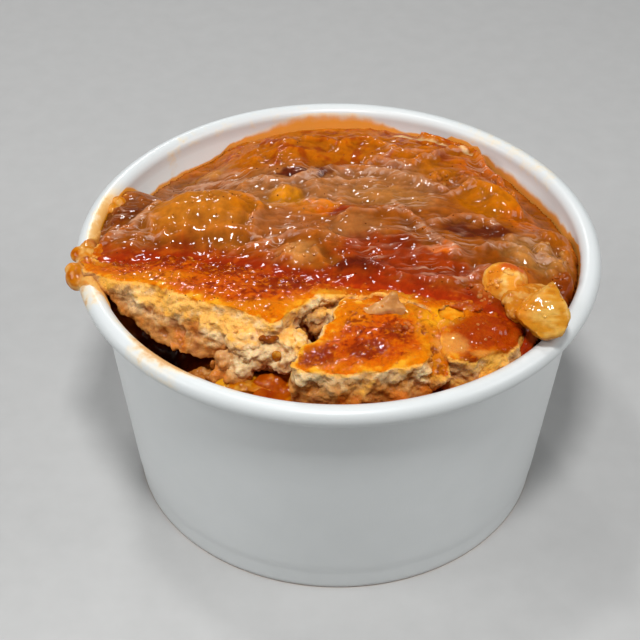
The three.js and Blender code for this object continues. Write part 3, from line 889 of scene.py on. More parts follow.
def pressed(name, balls, voxel, rounding):
    """Balls of [centre, half sizes], remeshed into one body."""
    bpy.ops.object.select_all(action="DESELECT")
    made = []
    for centre, half in balls:
        bpy.ops.mesh.primitive_ico_sphere_add(subdivisions=3, radius=1)
        ball = bpy.context.object
        move_points(ball, points_of(ball) * MM * np.array(half) + np.array(centre))
        made.append(ball)
    bpy.ops.object.select_all(action="DESELECT")
    for ball in made:
        ball.select_set(True)
    bpy.context.view_layer.objects.active = made[0]
    if len(made) > 1:
        bpy.ops.object.join()
    piece = bpy.context.object
    piece.name = name
    finish_with(piece, "REMESH", mode="VOXEL", voxel_size=voxel * MM)
    finish_with(piece, "SMOOTH", factor=0.7, iterations=rounding)
    return piece


# %% [markdown]
# Four clumps of crumb fill the gap between the torn parts. The lowest has soaked up sauce, so it is
# darker and shines more than the others.

# %% Clumps
CLUMPS = {  # name: balls of centre and half sizes
    "crumb_bridge": [((-9.8, -34.4, 60.6), (4.4, 3.0, 2.8)), ((-7.2, -38.2, 61), (2.6, 3.2, 2.6)),
                     ((-12.8, -37.2, 58.8), (3.2, 2.2, 2.6)), ((-10.4, -39.4, 58.6), (2.4, 1.8, 2.4))],
    "crumb_hanging": [((-18.6, -36.6, 58.4), (3.2, 2.4, 3)), ((-19.4, -38.4, 56), (2.6, 2, 2.6)),
                      ((-21.4, -39.8, 54.6), (2.2, 1.6, 1.8)), ((-16.4, -37.6, 57.4), (2.2, 1.8, 2.2)),
                      ((-18.6, -35.4, 61.4), (3.4, 2.2, 2.2))],
    "crumb_low": [((-22.4, -36.6, 57), (2.8, 2.2, 2.6)), ((-23.4, -38, 54.4), (3, 1.8, 1.4)),
                  ((-20, -39.4, 54.6), (2.2, 1.6, 1.6))],
    "crumb_behind": [((-3.5, -27.4, 60.4), (4.4, 2.4, 3)), ((1, -28.2, 62.6), (4, 2, 2.4))],
}
for name, balls in CLUMPS.items():
    soaked_through = name == "crumb_low"
    clump = pressed(name, balls, 0.3, 8)
    roughened(clump, 1.1, 2.4, 181.0, 2, -0.1)
    crust, fringe, hollow_shade, wet = baked_piece(clump, 0.28, 3, (54.5, 57.5))
    colours = cake_colours(clump, (crust * 0, fringe * 0.5, hollow_shade, wet), 0)
    colours = lay(colours, srgb(196, 124, 54), np.full(len(colours), 0.6 * soaked_through))
    keep_colours(clump, colours)
    keep(clump, "wet", np.clip(0.1 + 0.8 * wet + 0.5 * soaked_through, 0, 1))
    done(clump, baked, "baked_cake")

# %% [markdown]
# The piece torn off at the front still hangs on the slab by a tongue of crust, and sauce has run into
# the crack beside it. Both are rows of balls pressed into one body, and baked like the crust.

# %% Crust between the pieces
JOINTS = {  # name: balls of centre and half sizes
    "crust_tongue": [((3, -28.4, 63.9), (3.4, 3.6, 2.4)), ((7, -28.8, 64.2), (3.4, 3.6, 2.4)),
                     ((11, -29.4, 64.3), (3.4, 3.6, 2.4)), ((14.8, -30.2, 64.2), (3.2, 3.2, 2.4)),
                     ((17.6, -31.6, 63.8), (2.6, 2.8, 2.4))],
    "crack_filling": [((17.8, -34, 63.7), (4.2, 2.8, 2.6)), ((18.3, -37, 63.6), (4.2, 2.8, 2.6)),
                      ((18.8, -40, 63.2), (4.1, 2.8, 2.5)), ((19.2, -43, 62.3), (3.8, 2.6, 2.4)),
                      ((19.5, -45.2, 60.8), (3.0, 1.8, 2.4))],
}
for name, balls in JOINTS.items():
    joint = pressed(name, balls, 0.3, 24)
    shares = baked_piece(joint, 0.28, 6)
    from_tear = 1.4 if name == "crust_tongue" else 4.0
    keep_colours(joint, cake_colours(joint, shares, from_tear, [], [((3, -28), (4, 3))]))
    keep(joint, "wet", np.clip(shares[0] + 0.8 * shares[3], 0, 1))
    done(joint, baked, "baked_cake")

# %% [markdown]
# ## Sauce skin
#
# The sauce lies over the back of the cake as one skin, draped over the fruit that stands in it. A grid
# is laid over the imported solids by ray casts, smoothed until the facets are gone, and folded: long
# rounded folds where the skin has slid, and fine wrinkles between them. A cloth simulation would drape
# it too, but not with the same folds each time.

# %% Grid
STEP = 0.42
X_FROM, X_TO, Y_FROM, Y_TO = -55.0, 54.0, -43.0, 53.0
columns, rows = round((X_TO - X_FROM) / STEP), round((Y_TO - Y_FROM) / STEP)
bpy.ops.object.select_all(action="DESELECT")
bpy.ops.mesh.primitive_grid_add(x_subdivisions=columns, y_subdivisions=rows, size=2)
skin = bpy.context.object
skin.name = "sauce_skin"
flat = points_of(skin) * MM  # from -1 to 1
x = (X_FROM + X_TO) / 2 + flat[:, 0] * (X_TO - X_FROM) / 2
y = (Y_FROM + Y_TO) / 2 + flat[:, 1] * (Y_TO - Y_FROM) / 2
shape = (rows + 1, columns + 1)


def blur(values, reach):
    """Smooths heights on the grid over a reach in millimetres."""
    sheet = values.reshape(shape)
    span = int(math.ceil(2.5 * reach / STEP))
    weights = np.exp(-0.5 * (np.arange(-span, span + 1) * STEP / reach) ** 2)
    weights /= weights.sum()
    for axis in (0, 1):
        padded = np.pad(sheet, [(span, span) if a == axis else (0, 0) for a in (0, 1)], mode="edge")
        size = sheet.shape[axis]
        sheet = sum(w * np.take(padded, range(i, i + size), axis=axis) for i, w in enumerate(weights))
    return sheet.ravel()


print(f"grid of {columns} by {rows}")

# %% [markdown]
# The grid takes its heights from the cake and the topping. Fruit that lies near the surface lifts it in
# bold humps, each softened by its own reach, and sunken fruit only swells it. Where the skin lies on the
# crust it keeps close to it.

# %% Drape
LOWEST = 54.0  # stands in where nothing lies below the grid
ground = np.column_stack([x, y, np.zeros(len(x))])
behind = past_edge(x, y) + 1.6 * cloud(ground, 5.0, 91.0) + 0.5 * cloud(ground, 1.5, 92.0)
BOLD_FRUIT = ["fruit_left_slice", "fruit_orange", "fruit_yellow", "fruit_back_slice", "fruit_right_inner",
              "fruit_right_middle", "fruit_right_wall", "fruit_right_front"]
SUNKEN_FRUIT = ["fruit_pale", "fruit_tan", "fruit_hump"]
SOFTNESS = {"fruit_left_slice": 1.9, "fruit_back_slice": 1.9, "fruit_orange": 1.7}  # else 0.8
CAKE = ["cake_slab", "cake_front_piece"]
bed = blur(np.maximum(heights_on(["sauce_topping", *CAKE], x, y, LOWEST), LOWEST), 1.6)
crust_bed = blur(heights_on(CAKE, x, y, LOWEST), 1.2)
bold = np.zeros(len(x))
for node in BOLD_FRUIT:
    rise = np.maximum(heights_on([node], x, y, 0.0) - bed, 0)
    share = 0.7 if node == "fruit_orange" else 1.0
    bold = np.maximum(bold, blur(rise, SOFTNESS.get(node, 0.8)) * share)
sunken = blur(np.maximum(heights_on(SUNKEN_FRUIT, x, y, 0.0) - bed, 0), 1.8)
on_crust = smooth(58, 60, crust_bed)
gentle = crust_bed + 0.25 + 0.26 * np.maximum(behind, 0)
bed = np.where(gentle < bed, bed + on_crust * (1 - smooth(8, 14, behind)) * (gentle - bed), bed)
surface = bed + 0.95 * bold + 0.8 * sunken
print(f"skin from {surface.min():.1f} to {surface.max():.1f} mm high")

# %% [markdown]
# The long folds are lines across the skin, each with a height and a width. Before they are drawn the
# ground is warped by noise, so no fold runs straight.

# %% Long folds
warp_x = x + 1.1 * cloud(ground, 6.0, 21.0) + 0.35 * cloud(ground, 1.8, 22.0)
warp_y = y + 1.1 * cloud(ground, 6.0, 31.0) + 0.35 * cloud(ground, 1.8, 32.0)
FOLDS = [  # height, width, line
    (1.5, 1.2, [(-55, -4), (-50, -1.5), (-45.5, 1), (-43, 5), (-41.5, 9)]),
    (1.1, 1.0, [(-41.5, 9), (-36, 13), (-30, 14.5), (-24, 15)]),
    (1.2, 1.1, [(-36, 29), (-31, 27), (-25, 25), (-20, 22)]),
    (1.6, 1.3, [(-22, 21), (-18, 23.5), (-14, 21.5), (-8.5, 24), (-2, 28), (3, 29), (7, 27), (12, 24),
                (23, 20)]),
    (0.9, 0.9, [(-10, 20), (0, 23.5), (8, 22)]),
    (1.1, 0.9, [(-8, 41), (-3, 41), (0, 39), (3, 41), (6, 43), (10, 40), (13, 36.5)]),
    (1.6, 0.9, [(5, 28), (8, 32), (12, 30), (17, 29.5), (22, 33), (26, 38), (30, 41)]),
    (0.8, 0.9, [(10, 33), (14.5, 35), (18, 34), (22, 36)]),
    (2.2, 0.9, [(32, 39.5), (33.5, 36), (35.4, 32.5), (37, 28), (38.5, 22), (40, 17)]),
    (0.9, 0.9, [(0.5, 3), (3, 5.5), (6, 6.5), (10.5, 8.5), (12.5, 7.5)]),
    (0.9, 1.1, [(12.5, 10.5), (16, 6), (18, 1), (20, -4), (22, -6), (24.5, -8), (25.2, -11.3)]),
    (1.1, 1.0, [(20, 2.5), (25, 5.5), (29.5, 7.5), (34, 5.5), (36.5, 1.5)]),
    (1.2, 1.0, [(30.5, -8), (34, -5.2), (37.5, -4.5), (41, -6), (46, -8.5)]),
    (0.9, 0.9, [(7, -14), (11, -17), (15, -19.5), (19, -20), (23.5, -20), (29, -18)]),
    (1.1, 0.9, [(-24, -8.5), (-22, -6.7), (-19.4, -5.8), (-16.4, -5)]),
    (1.1, 1.0, [(-16.4, -5), (-11, -3), (-2, -5), (4, -7)]),
    (1.8, 0.9, [(20, 46), (24.5, 44.6), (29.5, 43), (32.5, 41)]),
    (0.8, 0.9, [(-16.4, -5), (-19, -1), (-17.5, 6)]),
    (0.9, 1.0, [(-5, -10), (-2.5, -15), (-1, -19.5)]),
    (0.9, 0.8, [(-42, 11), (-42.5, 6), (-41, 1)]),
    (1.0, 0.7, [(-24, 12), (-18.5, 11), (-17.5, 6), (-19, 2)]),
    (1.2, 0.9, [(25.6, 18.4), (28.5, 20.8), (31.3, 20.2)]),
    (0.9, 0.8, [(31.3, 20.2), (37, 17.5), (41, 12)]),
]
fold_lift = np.zeros(len(x))
for height, width, line in FOLDS:
    ridge = np.exp(-(line_distance(warp_x, warp_y, line) / width) ** 2)
    fold_lift = np.maximum(fold_lift, height * ridge)
print(len(FOLDS), "folds")

# %% [markdown]
# Wrinkles are the places where a stretched noise crosses zero, which gives long, branching lines. They
# follow the flow of the sauce and die out over calm places, where the skin is taut over fruit.

# %% Wrinkles
CALM = [((-29, 5), (12, 8)), ((33, 15), (9, 7)), ((2, -3), (5, 5)), ((-2, 46), (20, 5)), ((-31, 33), (4, 2))]
calm = np.zeros(len(x))
for centre, reach in CALM:
    calm = np.maximum(calm, patch(x, y, centre, reach))
flow_y = y + 3.0 * cloud(ground, 16.0, 35.0, 2) + 0.5 * cloud(ground, 3.0, 36.0)
flow_x = x + 2.0 * cloud(ground, 12.0, 37.0, 2)
streak = np.column_stack([flow_x / 13.0, flow_y / 2.4, np.zeros(len(x))])
fine_streak = np.column_stack([flow_x / 7.0, flow_y / 0.95, np.zeros(len(x))])
coarse = np.exp(-(cloud(streak, 1.0, 41.0, 2) / 0.14) ** 2)
fine_lines = np.exp(-(cloud(fine_streak, 1.0, 51.0, 2) / 0.2) ** 2)
liveliness = np.clip(0.5 + 1.1 * cloud(ground, 9.0, 61.0), 0.05, 1) * (1 - 0.8 * calm)
wrinkles = liveliness * (0.42 * coarse + 0.05 * fine_lines)
swell = 0.7 * cloud(ground, 6.5, 71.0) + 0.16 * cloud(ground, 2.4, 72.0)
swell = swell + 0.7 * smooth(0.4, 2.0, bold) * cloud(ground, 3.6, 73.0)
print(f"wrinkles up to {wrinkles.max():.2f} mm")

# %% [markdown]
# Small bits of fruit push the skin up in knobs. Round the two pieces that stand clear, the sauce climbs a
# little way up in a collar, as thick sauce does.

# %% Knobs and collars
KNOBS = [  # x, y, half width, height
    (44, -4, 2.2, 1.2), (47.5, -9, 2.6, 1.6), (41, -9.5, 1.8, 0.9), (37.5, -1.5, 1.6, 0.9),
    (46.5, 2, 2, 1.0), (49, -15, 2.2, 1.4), (39, -14, 1.8, 0.8), (34, -9, 1.3, 0.7),
    (22, 25.5, 1.3, 0.9), (24.5, 27.2, 1.5, 1.0), (26, 24, 1.0, 0.7), (19, 20.5, 2.2, 0.9),
    (-27, 2.5, 1.0, 0.5), (-23.5, 2.2, 0.9, 0.5), (-40, 8.5, 1.2, 0.7), (-40.3, 5.2, 1.0, 0.6),
    (-33.5, 9, 2.4, 0.6), (-48, 18, 1.8, 1.6), (-45, 16, 1.3, 1.0), (-31, 32.5, 2.8, 0.8),
    (-50, 10, 1.6, 1.0), (12, 18, 1.6, 0.5), (-8, -9, 1.4, 0.5), (-12, -11, 1.1, 0.5),
    (30, -14, 1.2, 0.6), (24, -14.5, 1.0, 0.5), (-20, 33, 1.6, 0.5), (-12, 38, 2.0, 0.5),
    (36, 24, 1.4, 0.5), (29, 33, 1.2, 0.5),
]
knob_lift = np.zeros(len(x))
for node, collar in (("fruit_round", 3.0), ("fruit_rim_chunk", 2.0)):
    corner, other = (np.array(c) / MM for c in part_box(node))
    middle, half = (corner + other) / 2, (other - corner) / 2
    reach = np.hypot((x - middle[0]) / half[0], (y - middle[1]) / half[1])
    climbed = 1 - smooth(0.72, 1.5, reach + 0.12 * cloud(ground, 2.0, 93.0))
    knob_lift = np.maximum(knob_lift, collar * climbed)
for knob_x, knob_y, half, height in KNOBS:
    reach = np.hypot(x - knob_x, y - knob_y) / half
    knob_lift = np.maximum(knob_lift, height * np.sqrt(np.clip(1 - reach * reach, 0, 1)))
surface = surface + fold_lift + wrinkles + swell * (1 - 0.3 * calm) + blur(knob_lift, 0.35)
print(len(KNOBS), "knobs")

# %% [markdown]
# At its front edge the skin thins out and sinks into the crust, along a ragged line. Against the wall
# it stops just inside the paper.

# %% Edges of the skin
FORWARD = 3.6  # how far the skin reaches in front of the sauce's edge, under the crumb
direction, from_axis = np.arctan2(y, x), np.hypot(x, y)
surface = surface - 1.7 * smooth(40, 49, from_axis) * around(direction, 28, 12, 12)
surface = surface - 1.4 * smooth(42, 50, from_axis) * around(direction, 140, 10, 10)
by_rim = smooth(43, 51.5, from_axis) * around(direction, 171, 12, 10)
surface = surface + np.maximum(60.2 - surface, 0) * 0.85 * by_rim  # it leaves over the rim here
surface = bed + (surface - bed) * smooth(0.5, 7, behind) - 1.0 * (1 - smooth(-FORWARD, 0.5, behind)) + 0.05
limit = wall_radius(surface) - PAPER + 0.12
move_points(skin, np.column_stack([x, y, surface]))
outside = (from_axis > limit) | (behind < -FORWARD)
only(skin)
bpy.ops.object.mode_set(mode="EDIT")
bpy.ops.mesh.select_mode(type="VERT")
bpy.ops.mesh.select_all(action="DESELECT")
bpy.ops.object.mode_set(mode="OBJECT")
skin.data.vertices.foreach_set("select", outside)
bpy.ops.object.mode_set(mode="EDIT")
bpy.ops.mesh.delete(type="VERT")
bpy.ops.object.mode_set(mode="OBJECT")
kept = ~outside
print("kept", len(skin.data.vertices), "points of", len(kept))

# %% [markdown]
# ## Colours of the skin
#
# Thick sauce is amber where light passes into it, tan where starch clouds it, and dark red where it has
# caught on the crust. The ground coat is clouded in these colours, with more amber towards the back.

# %% Ground coat of the skin
px, py, pz = x[kept], y[kept], surface[kept]
place = np.column_stack([px, py, pz])
cloudy = cloud(place, 7.0, 101.0)
mottle = cloud(place, 2.6, 102.0)
fine = cloud(place, 0.9, 103.0, 2)
ragged_x, ragged_y = px + 1.5 * mottle + 1.2 * cloudy, py + 1.5 * cloud(place, 2.8, 104.0)
AMBER, DEEP_AMBER, BROWN = lit(184, 98, 16), lit(156, 68, 10), lit(134, 68, 24)
TAN, CARAMEL, MAUVE_FILM_AND_SHEEN = lit(168, 114, 56), lit(182, 108, 34), lit(196, 150, 122)
RED, DARK_RED, ORANGE = lit(146, 48, 10), lit(84, 28, 14), lit(224, 106, 8)
back = smooth(24, 34, ragged_y)
middle = smooth(8, 14, ragged_y) * (1 - smooth(25, 31, ragged_y))
middle = middle * smooth(-30, -20, px) * (1 - smooth(18, 26, px))
colours = lay_all(
    base_coat(len(px), lit(160, 84, 28)),
    (BROWN, smooth(-0.1, 0.8, cloudy)),
    (AMBER, back * 0.95),
    (DEEP_AMBER, back * smooth(0.0, 0.6, mottle + 0.5 * cloudy)),
    (lit(166, 106, 58), 0.8 * middle))
print(len(px), "points painted")

# %% [markdown]
# Fruit shows through thin sauce as warm patches, and deep pools are dark. Each is an oval with a ragged
# edge, laid over the ground coat in this order.

# %% Patches on the skin
PATCHES = [  # colour, thickness, centre, reach, turn
    (lit(146, 92, 54), 0.8, (-38, 27), (12, 7), 35), (lit(122, 66, 34), 0.7, (-44, 12), (7, 7), 30),
    (lit(104, 46, 14), 0.85, (-47, 7), (5, 3.4), 20), (lit(178, 112, 44), 0.8, (-31, 33), (5, 2.2), 10),
    (CARAMEL, 0.95, (-30, 5), (13.5, 8.5), 8), (lit(190, 106, 6), 0.95, (-20.5, 7.5), (4.6, 4.4), 0),
    (lit(172, 96, 34), 0.6, (-28, -3), (8, 4), 0),
    (lit(202, 124, 22), 0.9, (-12, 13), (4.6, 4.2), 20), (lit(204, 112, 18), 0.95, (-4.6, 9), (5.4, 3.4), 15),
    (ORANGE, 0.8, (-3.4, 8), (3.4, 1.6), 20),
    (lit(140, 40, 10), 0.85, (0.5, 7.5), (3, 2), 0), (lit(162, 98, 50), 0.9, (3, -1), (7, 6), 15),
    (lit(170, 108, 52), 0.8, (10, 15), (9, 4.5), -8), (lit(166, 96, 50), 0.7, (-12, 3), (7, 6), 0),
    (lit(190, 124, 62), 0.9, (-9, -10), (5, 3.6), -15), (lit(164, 72, 20), 0.7, (-18, -9), (6, 3), 0),
    (RED, 0.85, (8, -9), (9, 6), 0), (RED, 0.85, (20, -15), (12, 6), 0), (RED, 0.8, (4, -17), (8, 4), 10),
    (ORANGE, 0.85, (23, -10), (3.4, 2), -20), (DARK_RED, 0.85, (30, 0.5), (8, 3.2), 0),
    (DARK_RED, 0.75, (4, -15), (5, 2.4), 0), (lit(112, 38, 14), 0.7, (14, -7), (4, 3), 0),
    (lit(184, 102, 6), 0.95, (34, 14), (9.5, 6.4), -40), (lit(188, 92, 10), 0.8, (41, 8), (5, 4), -30),
    (lit(180, 86, 10), 0.8, (34, 28), (8, 5), -40), (lit(180, 100, 18), 0.8, (23, 28), (5, 4), 0),
    (TAN, 0.8, (43, -7), (8, 6), -20), (lit(142, 70, 22), 0.8, (30, -12), (7, 3.4), 0),
    (lit(164, 88, 20), 0.7, (50, 4), (4, 12), 0), (lit(150, 78, 22), 0.8, (47, 16), (5, 6), 0),
    (lit(112, 44, 12), 0.8, (48, -20), (4, 7), 0), (lit(186, 100, 14), 0.9, (47, -31), (4, 6), 0),
    (DARK_RED, 0.9, (-9, 26.5), (8, 1.5), 5),
]
for colour, thickness, centre, reach, turn in PATCHES:
    colours = lay(colours, colour, thickness * patch(ragged_x, ragged_y, centre, reach, turn))
# Painted highlight: a pale strip along the sauce's edge at the back wall, where its meniscus catches the
# light.
from_painted_highlight = line_distance(px, py, [(13.5, 45.2), (19.7, 43.8), (24.5, 41.9), (29.1, 39.4), (31, 38)])
front_red = 1 - smooth(0.5, 6.5, behind[kept] + 1.5 * mottle)
colours = lay_all(
    colours,
    (lit(238, 200, 140), 0.75 * (1 - smooth(0.25, 0.85, from_painted_highlight + 0.25 * fine))),
    (lit(152, 44, 2), 0.92 * front_red),
    (lit(196, 88, 14), 0.5 * front_red * smooth(0.2, 0.7, mottle + 0.4 * fine)))
print(len(PATCHES), "patches")

# %% [markdown]
# The skin dries first where it stands proud, and the crests of the folds turn a dull mauve: partly dried
# film, partly a painted sheen of light on the crests. Crests are painted lighter and hollows darker, as
# painted light and shade. How dry it is, and how the sauce has flowed, are stored for the finish.

# %% Dry crests
DRY = [((20, -7), (20, 12), -25), ((2, 18), (26, 13), 0), ((-47, 2), (10, 9), 35), ((-15, -4), (9, 9), 0),
       ((-33, 24), (14, 8), 30), ((20, 31), (14, 8), -10), ((40, 0), (12, 9), -30)]
dry = np.zeros(len(px))
for centre, reach, turn in DRY:
    dry = np.maximum(dry, patch(ragged_x, ragged_y, centre, reach, turn))
crest_light_hollow_shade = np.clip((surface - blur(surface, 1.3))[kept] / 0.35, -1, 1)
crest = np.clip(fold_lift[kept] / 0.9, 0, 1) ** 2 + 0.8 * liveliness[kept] * coarse[kept]
crest = crest * dry * (1 - 0.75 * front_red)
# Painted light and shade: raised places of the skin lighter, hollows darker.
colours = colours * (1 + 0.28 * crest_light_hollow_shade)[:, None]
# Mauve on dry crests: partly dried film, partly a painted sheen of light.
colours = lay(colours, MAUVE_FILM_AND_SHEEN, 0.4 * np.clip(crest, 0, 1) * smooth(-0.4, 0.4, mottle))
colours = colours * (1 + 0.16 * np.clip(fine, -1, 1))[:, None]
keep_colours(skin, colours)
bands = smooth(0.1, 0.5, cloud(place, 8.0, 105.0, 2) + 0.5 * np.clip(fold_lift[kept], 0, 1))
film = np.clip(dry * bands + 0.8 * np.clip(crest, 0, 1), 0, 1)
keep(skin, "film", film * (1 - 0.6 * front_red) * (1 - 0.7 * calm[kept]))
flow_layer = skin.data.attributes.new("flow", "FLOAT_VECTOR", "POINT")
flow_points = np.column_stack([flow_x[kept], flow_y[kept], np.zeros(len(px))]).astype(np.float32)
flow_layer.data.foreach_set("vector", flow_points.ravel())
SKIN_THICKNESS = 1.6
finish_with(skin, "SOLIDIFY", thickness=SKIN_THICKNESS * MM, offset=-1)

# %% [markdown]
# The finish of the sauce is glossy and slightly cloudy. Dried film lies on it in fine pale lines that follow
# the flow, which also stand in for painted highlights along the wrinkles; they are drawn on the stored flow
# and not on the plain place.


# %% Sauce finish
def sauce_finish(name):
    """Glossy, slightly cloudy sauce, whose dry film wrinkles along the flow in pale lines that are partly
    painted highlights.
    """
    finish, tint = food_finish(name, (0.003, 0.001, 0.0004), Subsurface_Weight=0.1, Coat_Weight=0.5, IOR=1.45)
    film = finish.attribute("film")
    starch = finish.noise(1.8, 3.0)
    swirl = finish.noise(3.2, 3.0, stretch=(0.5, 1, 1), shift=6.0)
    grain = finish.noise(0.4, 3.0, shift=2.0)
    wide = finish.lines(finish.noise(1.0, 1.0, (0.07, 0.42, 1), 1.0, along="flow"), 0.035)
    narrow = finish.lines(finish.noise(1.0, 1.5, (0.11, 0.9, 1), 5.0, along="flow"), 0.03)
    bands = finish.noise(1.0, 2.0, (0.09, 0.16, 1), 9.0, along="flow").between(0.48, 0.62)
    film_lines_and_highlights = wide.most(narrow * bands) * film
    colour = finish.shade(tint, 0.56 + swirl * 0.42 + starch * 0.34 + grain * 0.12)
    # Pale lines: dried film, and partly painted highlights along the wrinkles.
    colour = finish.mix(film_lines_and_highlights * 0.6, colour, lit(206, 160, 130))
    relief = finish.bump(starch * 0.9 + grain * 0.06 + film_lines_and_highlights * 0.25, 0.6, 0.6)
    return finish.set(Base_Color=colour, Roughness=0.4 + starch * 0.2, Normal=relief)


sauce = sauce_finish("set_sauce")
done(skin, sauce, "sauce", "sauce_topping", *BOLD_FRUIT, *SUNKEN_FRUIT)

# %% [markdown]
# ## Finish of the paper
#
# Coated paper is white and softly glossy. Sauce has smeared the rim at the left, dried in thin brown
# edges, and left a film on the wall just above its level. Each smear is a mask by direction and height,
# which the finish breaks up with noise.

# %% Smears on the paper
spots = points_of(cup_wall)
angle, radius = turned(spots)
on_rim = smooth(HEIGHT - 5.5, HEIGHT - 2.0, spots[:, 2])
inside = (radius < wall_radius(spots[:, 2]) - PAPER / 2).astype(float)
inner_half = smooth(RIM - 1.0, RIM - 3.2, radius)
inner_rim = on_rim * inner_half
SMEARS = [  # strength, direction, half width and softness in degrees, where on the paper
    (0.25, 176, 8, 14, on_rim), (0.45, 176, 8, 14, inner_rim),
    (0.30, 164, 3, 14, inside * smooth(50, 60, spots[:, 2])), (0.30, 139, 1.2, 3.5, inside),
    (0.60, 196, 6, 8, on_rim), (0.42, 230, 16, 10, inner_rim), (0.42, 229, 5, 7, on_rim),
    (0.30, 118, 16, 10, inner_rim), (0.35, 42, 14, 8, on_rim)]
smear = sum(strength * around(angle, *span) * where for strength, *span, where in SMEARS)
keep(cup_wall, "smear", np.clip(smear, 0, 1))
LEVEL_RADIUS = 51.8  # the level of the sauce is read here, close to the wall
by_wall = np.abs(from_axis - LEVEL_RADIUS) < 0.5
turns_seen = np.degrees(np.arctan2(y[by_wall], x[by_wall])) % 360
order = np.argsort(turns_seen)
level = np.interp(np.degrees(angle) % 360, turns_seen[order], surface[by_wall][order])
film_height = 0.6 + 4.0 * around(angle, 95, 2, 26) + 1.6 * around(angle, 28, 14, 10)
film_height = film_height + 0.5 * around(angle, 150, 12, 8)
keep(cup_wall, "above", np.where(inside > 0, (spots[:, 2] - level) / film_height, 9.0))
soaked = 0.62 * around(angle, 173, 6, 12) * on_rim * smooth(RIM - 1.4, RIM - 4.2, radius)
keep(cup_wall, "soaked", soaked)
# Mask for painted light: the inside of the wall is painted paler and cooler.
keep(cup_wall, "inner", inside * (1 - on_rim))
# Mask for painted shade: the top of the rim is painted darker.
keep(cup_wall, "rim", on_rim)
print(len(SMEARS), "smears")

# %% [markdown]
# The finish lays the smears over the white in the order in which they dried: pale smears, brown edges,
# then the film of sauce on the wall. Under them the white is painted paler and cooler inside the wall, as
# painted light, and darker on the top of the rim, as painted shade.

# %% Paper finish
paper = Finish("coated_paper", Roughness=0.42, Coat_Weight=0.25, Coat_Roughness=0.22, Subsurface_Weight=0.06)
paper.shader.inputs["Subsurface Radius"].default_value = (0.0012, 0.0011, 0.001)
fibre = paper.noise(0.35, 4.0, stretch=(1, 1, 0.4))
cloudy = paper.noise(9.0, 2.0)
white = paper.mix(cloudy, srgb(222, 226, 226), srgb(230, 233, 233))
blots = paper.noise(2.2, 4.0, shift=3.0)
smeared = (paper.attribute("smear") * 1.25 + (blots - 0.5) * 1.1).between(0.32, 0.85)
dried = (paper.attribute("smear") * 1.3 + (blots - 0.5) * 1.3).between(0.62, 1.0)
# Painted light: the inside of the wall paler and bluer, against its shade and the orange light from the
# sauce.
white = paper.mix(paper.attribute("inner"), white, srgb(238, 252, 255))
# Painted shade: the rim's top darker, where the lights fall on it most.
white = paper.mix(paper.attribute("rim"), white, srgb(212, 216, 216))
colour = paper.mix(smeared * 0.75, white, srgb(238, 214, 168))
colour = paper.mix(dried * 0.8, colour, srgb(206, 150, 82))
film_share = 1 - (paper.attribute("above") + (blots - 0.5) * 0.5).between(0.35, 1.15)
soak = paper.attribute("soaked").most(film_share)
soak_colour = paper.mix(soak.between(0.2, 0.85), srgb(250, 206, 120), srgb(240, 158, 8))
colour = paper.mix(soak * 0.94, colour, soak_colour)
relief = paper.bump(fibre * 0.4 + smeared * 0.6, 0.05)
done(cup_wall, paper.set(Base_Color=colour, Normal=relief), "cup_paper", "cup_sidewall")

# %% [markdown]
# ## Fruit
#
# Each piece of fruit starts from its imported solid. It is remeshed, its corners are softened and it gets
# the faint strings of cooked fruit. The two pieces at the right stand clear and are pale; the others
# show in the crust and under the torn crumb.


# %% Fruit pieces
BLOCK_CUTS = [  # across, up, distance from the middle
    (-0.6, 0.8, 3.4), (0.93, 0.37, 4.1), (0.91, -0.41, 4.9), (0.23, -0.97, 5.6), (-0.61, -0.79, 4.7)]
RESHAPED = {  # scale about the middle, then a shift
    "fruit_crust_yellow": ((1.6, 1.6, 0.8), (0, 0, -0.35)), "fruit_round": ((0.88, 1, 1), (0, 0, 0))}


def cut_block(piece):
    """Cuts a rounded piece into a block with five corners, as a knife leaves it."""
    spots = points_of(piece)
    middle = middle_of(spots)
    offset = (spots - middle) * 1.2
    for across, up, distance in BLOCK_CUTS:
        side = np.array([across, 0.62 * up, 0.78 * up])
        past = np.maximum(offset @ side - distance, 0)
        offset = offset - side * (0.88 * past)[:, None]
    face = np.array([-0.1, -0.74, 0.66])
    past = np.maximum(offset @ face - 4.6, 0)
    offset = offset - face * (0.85 * past)[:, None]
    move_points(piece, middle + offset)
    finish_with(piece, "SMOOTH", factor=0.6, iterations=9)


def fruit_body(node, name, colour, light, dark):
    """A softened piece of fruit with its first colours."""
    piece = merged_copy(node, name)
    finish_with(piece, "REMESH", mode="VOXEL", voxel_size=0.42 * MM)
    finish_with(piece, "SMOOTH", factor=0.7, iterations=10)
    if node == "fruit_rim_chunk":
        cut_block(piece)
    if node in RESHAPED:
        scale, shift = map(np.array, RESHAPED[node])
        spots = points_of(piece)
        move_points(piece, middle_of(spots) + (spots - middle_of(spots)) * scale + shift)
    spots, facing = points_of(piece), normals_of(piece)
    strings = np.column_stack([spots[:, 0] / 3.2, spots[:, 1] / 0.8, spots[:, 2] / 0.9])
    string = cloud(strings, 1.0, 121.0, 2)
    lumps = cloud(spots, 4.2, 111.0)
    fine = 0.08 if node == "fruit_round" else 0.2
    relief = 0.35 * lumps + 0.3 * fine * string + fine * cloud(spots, 1.1, 5.0, 2)
    move_points(piece, spots + facing * relief[:, None])
    low = 1 - smooth(0.0, 0.5, (spots[:, 2] - spots[:, 2].min()) / np.ptp(spots[:, 2]) + 0.15 * lumps)
    return piece, spots, lay_all(
        base_coat(len(spots), colour),
        (light, 0.8 * smooth(0.0, 0.6, lumps + 0.5 * string)),
        (dark, 0.7 * smooth(0.1, 0.7, -lumps + 0.5 * string)),
        (dark, 0.8 * low))


# %% [markdown]
# Cooked fruit is juicy: light passes well into it, and its wet skin shines. The round piece is smoother
# than the rest, so it has a finish of its own with less relief.


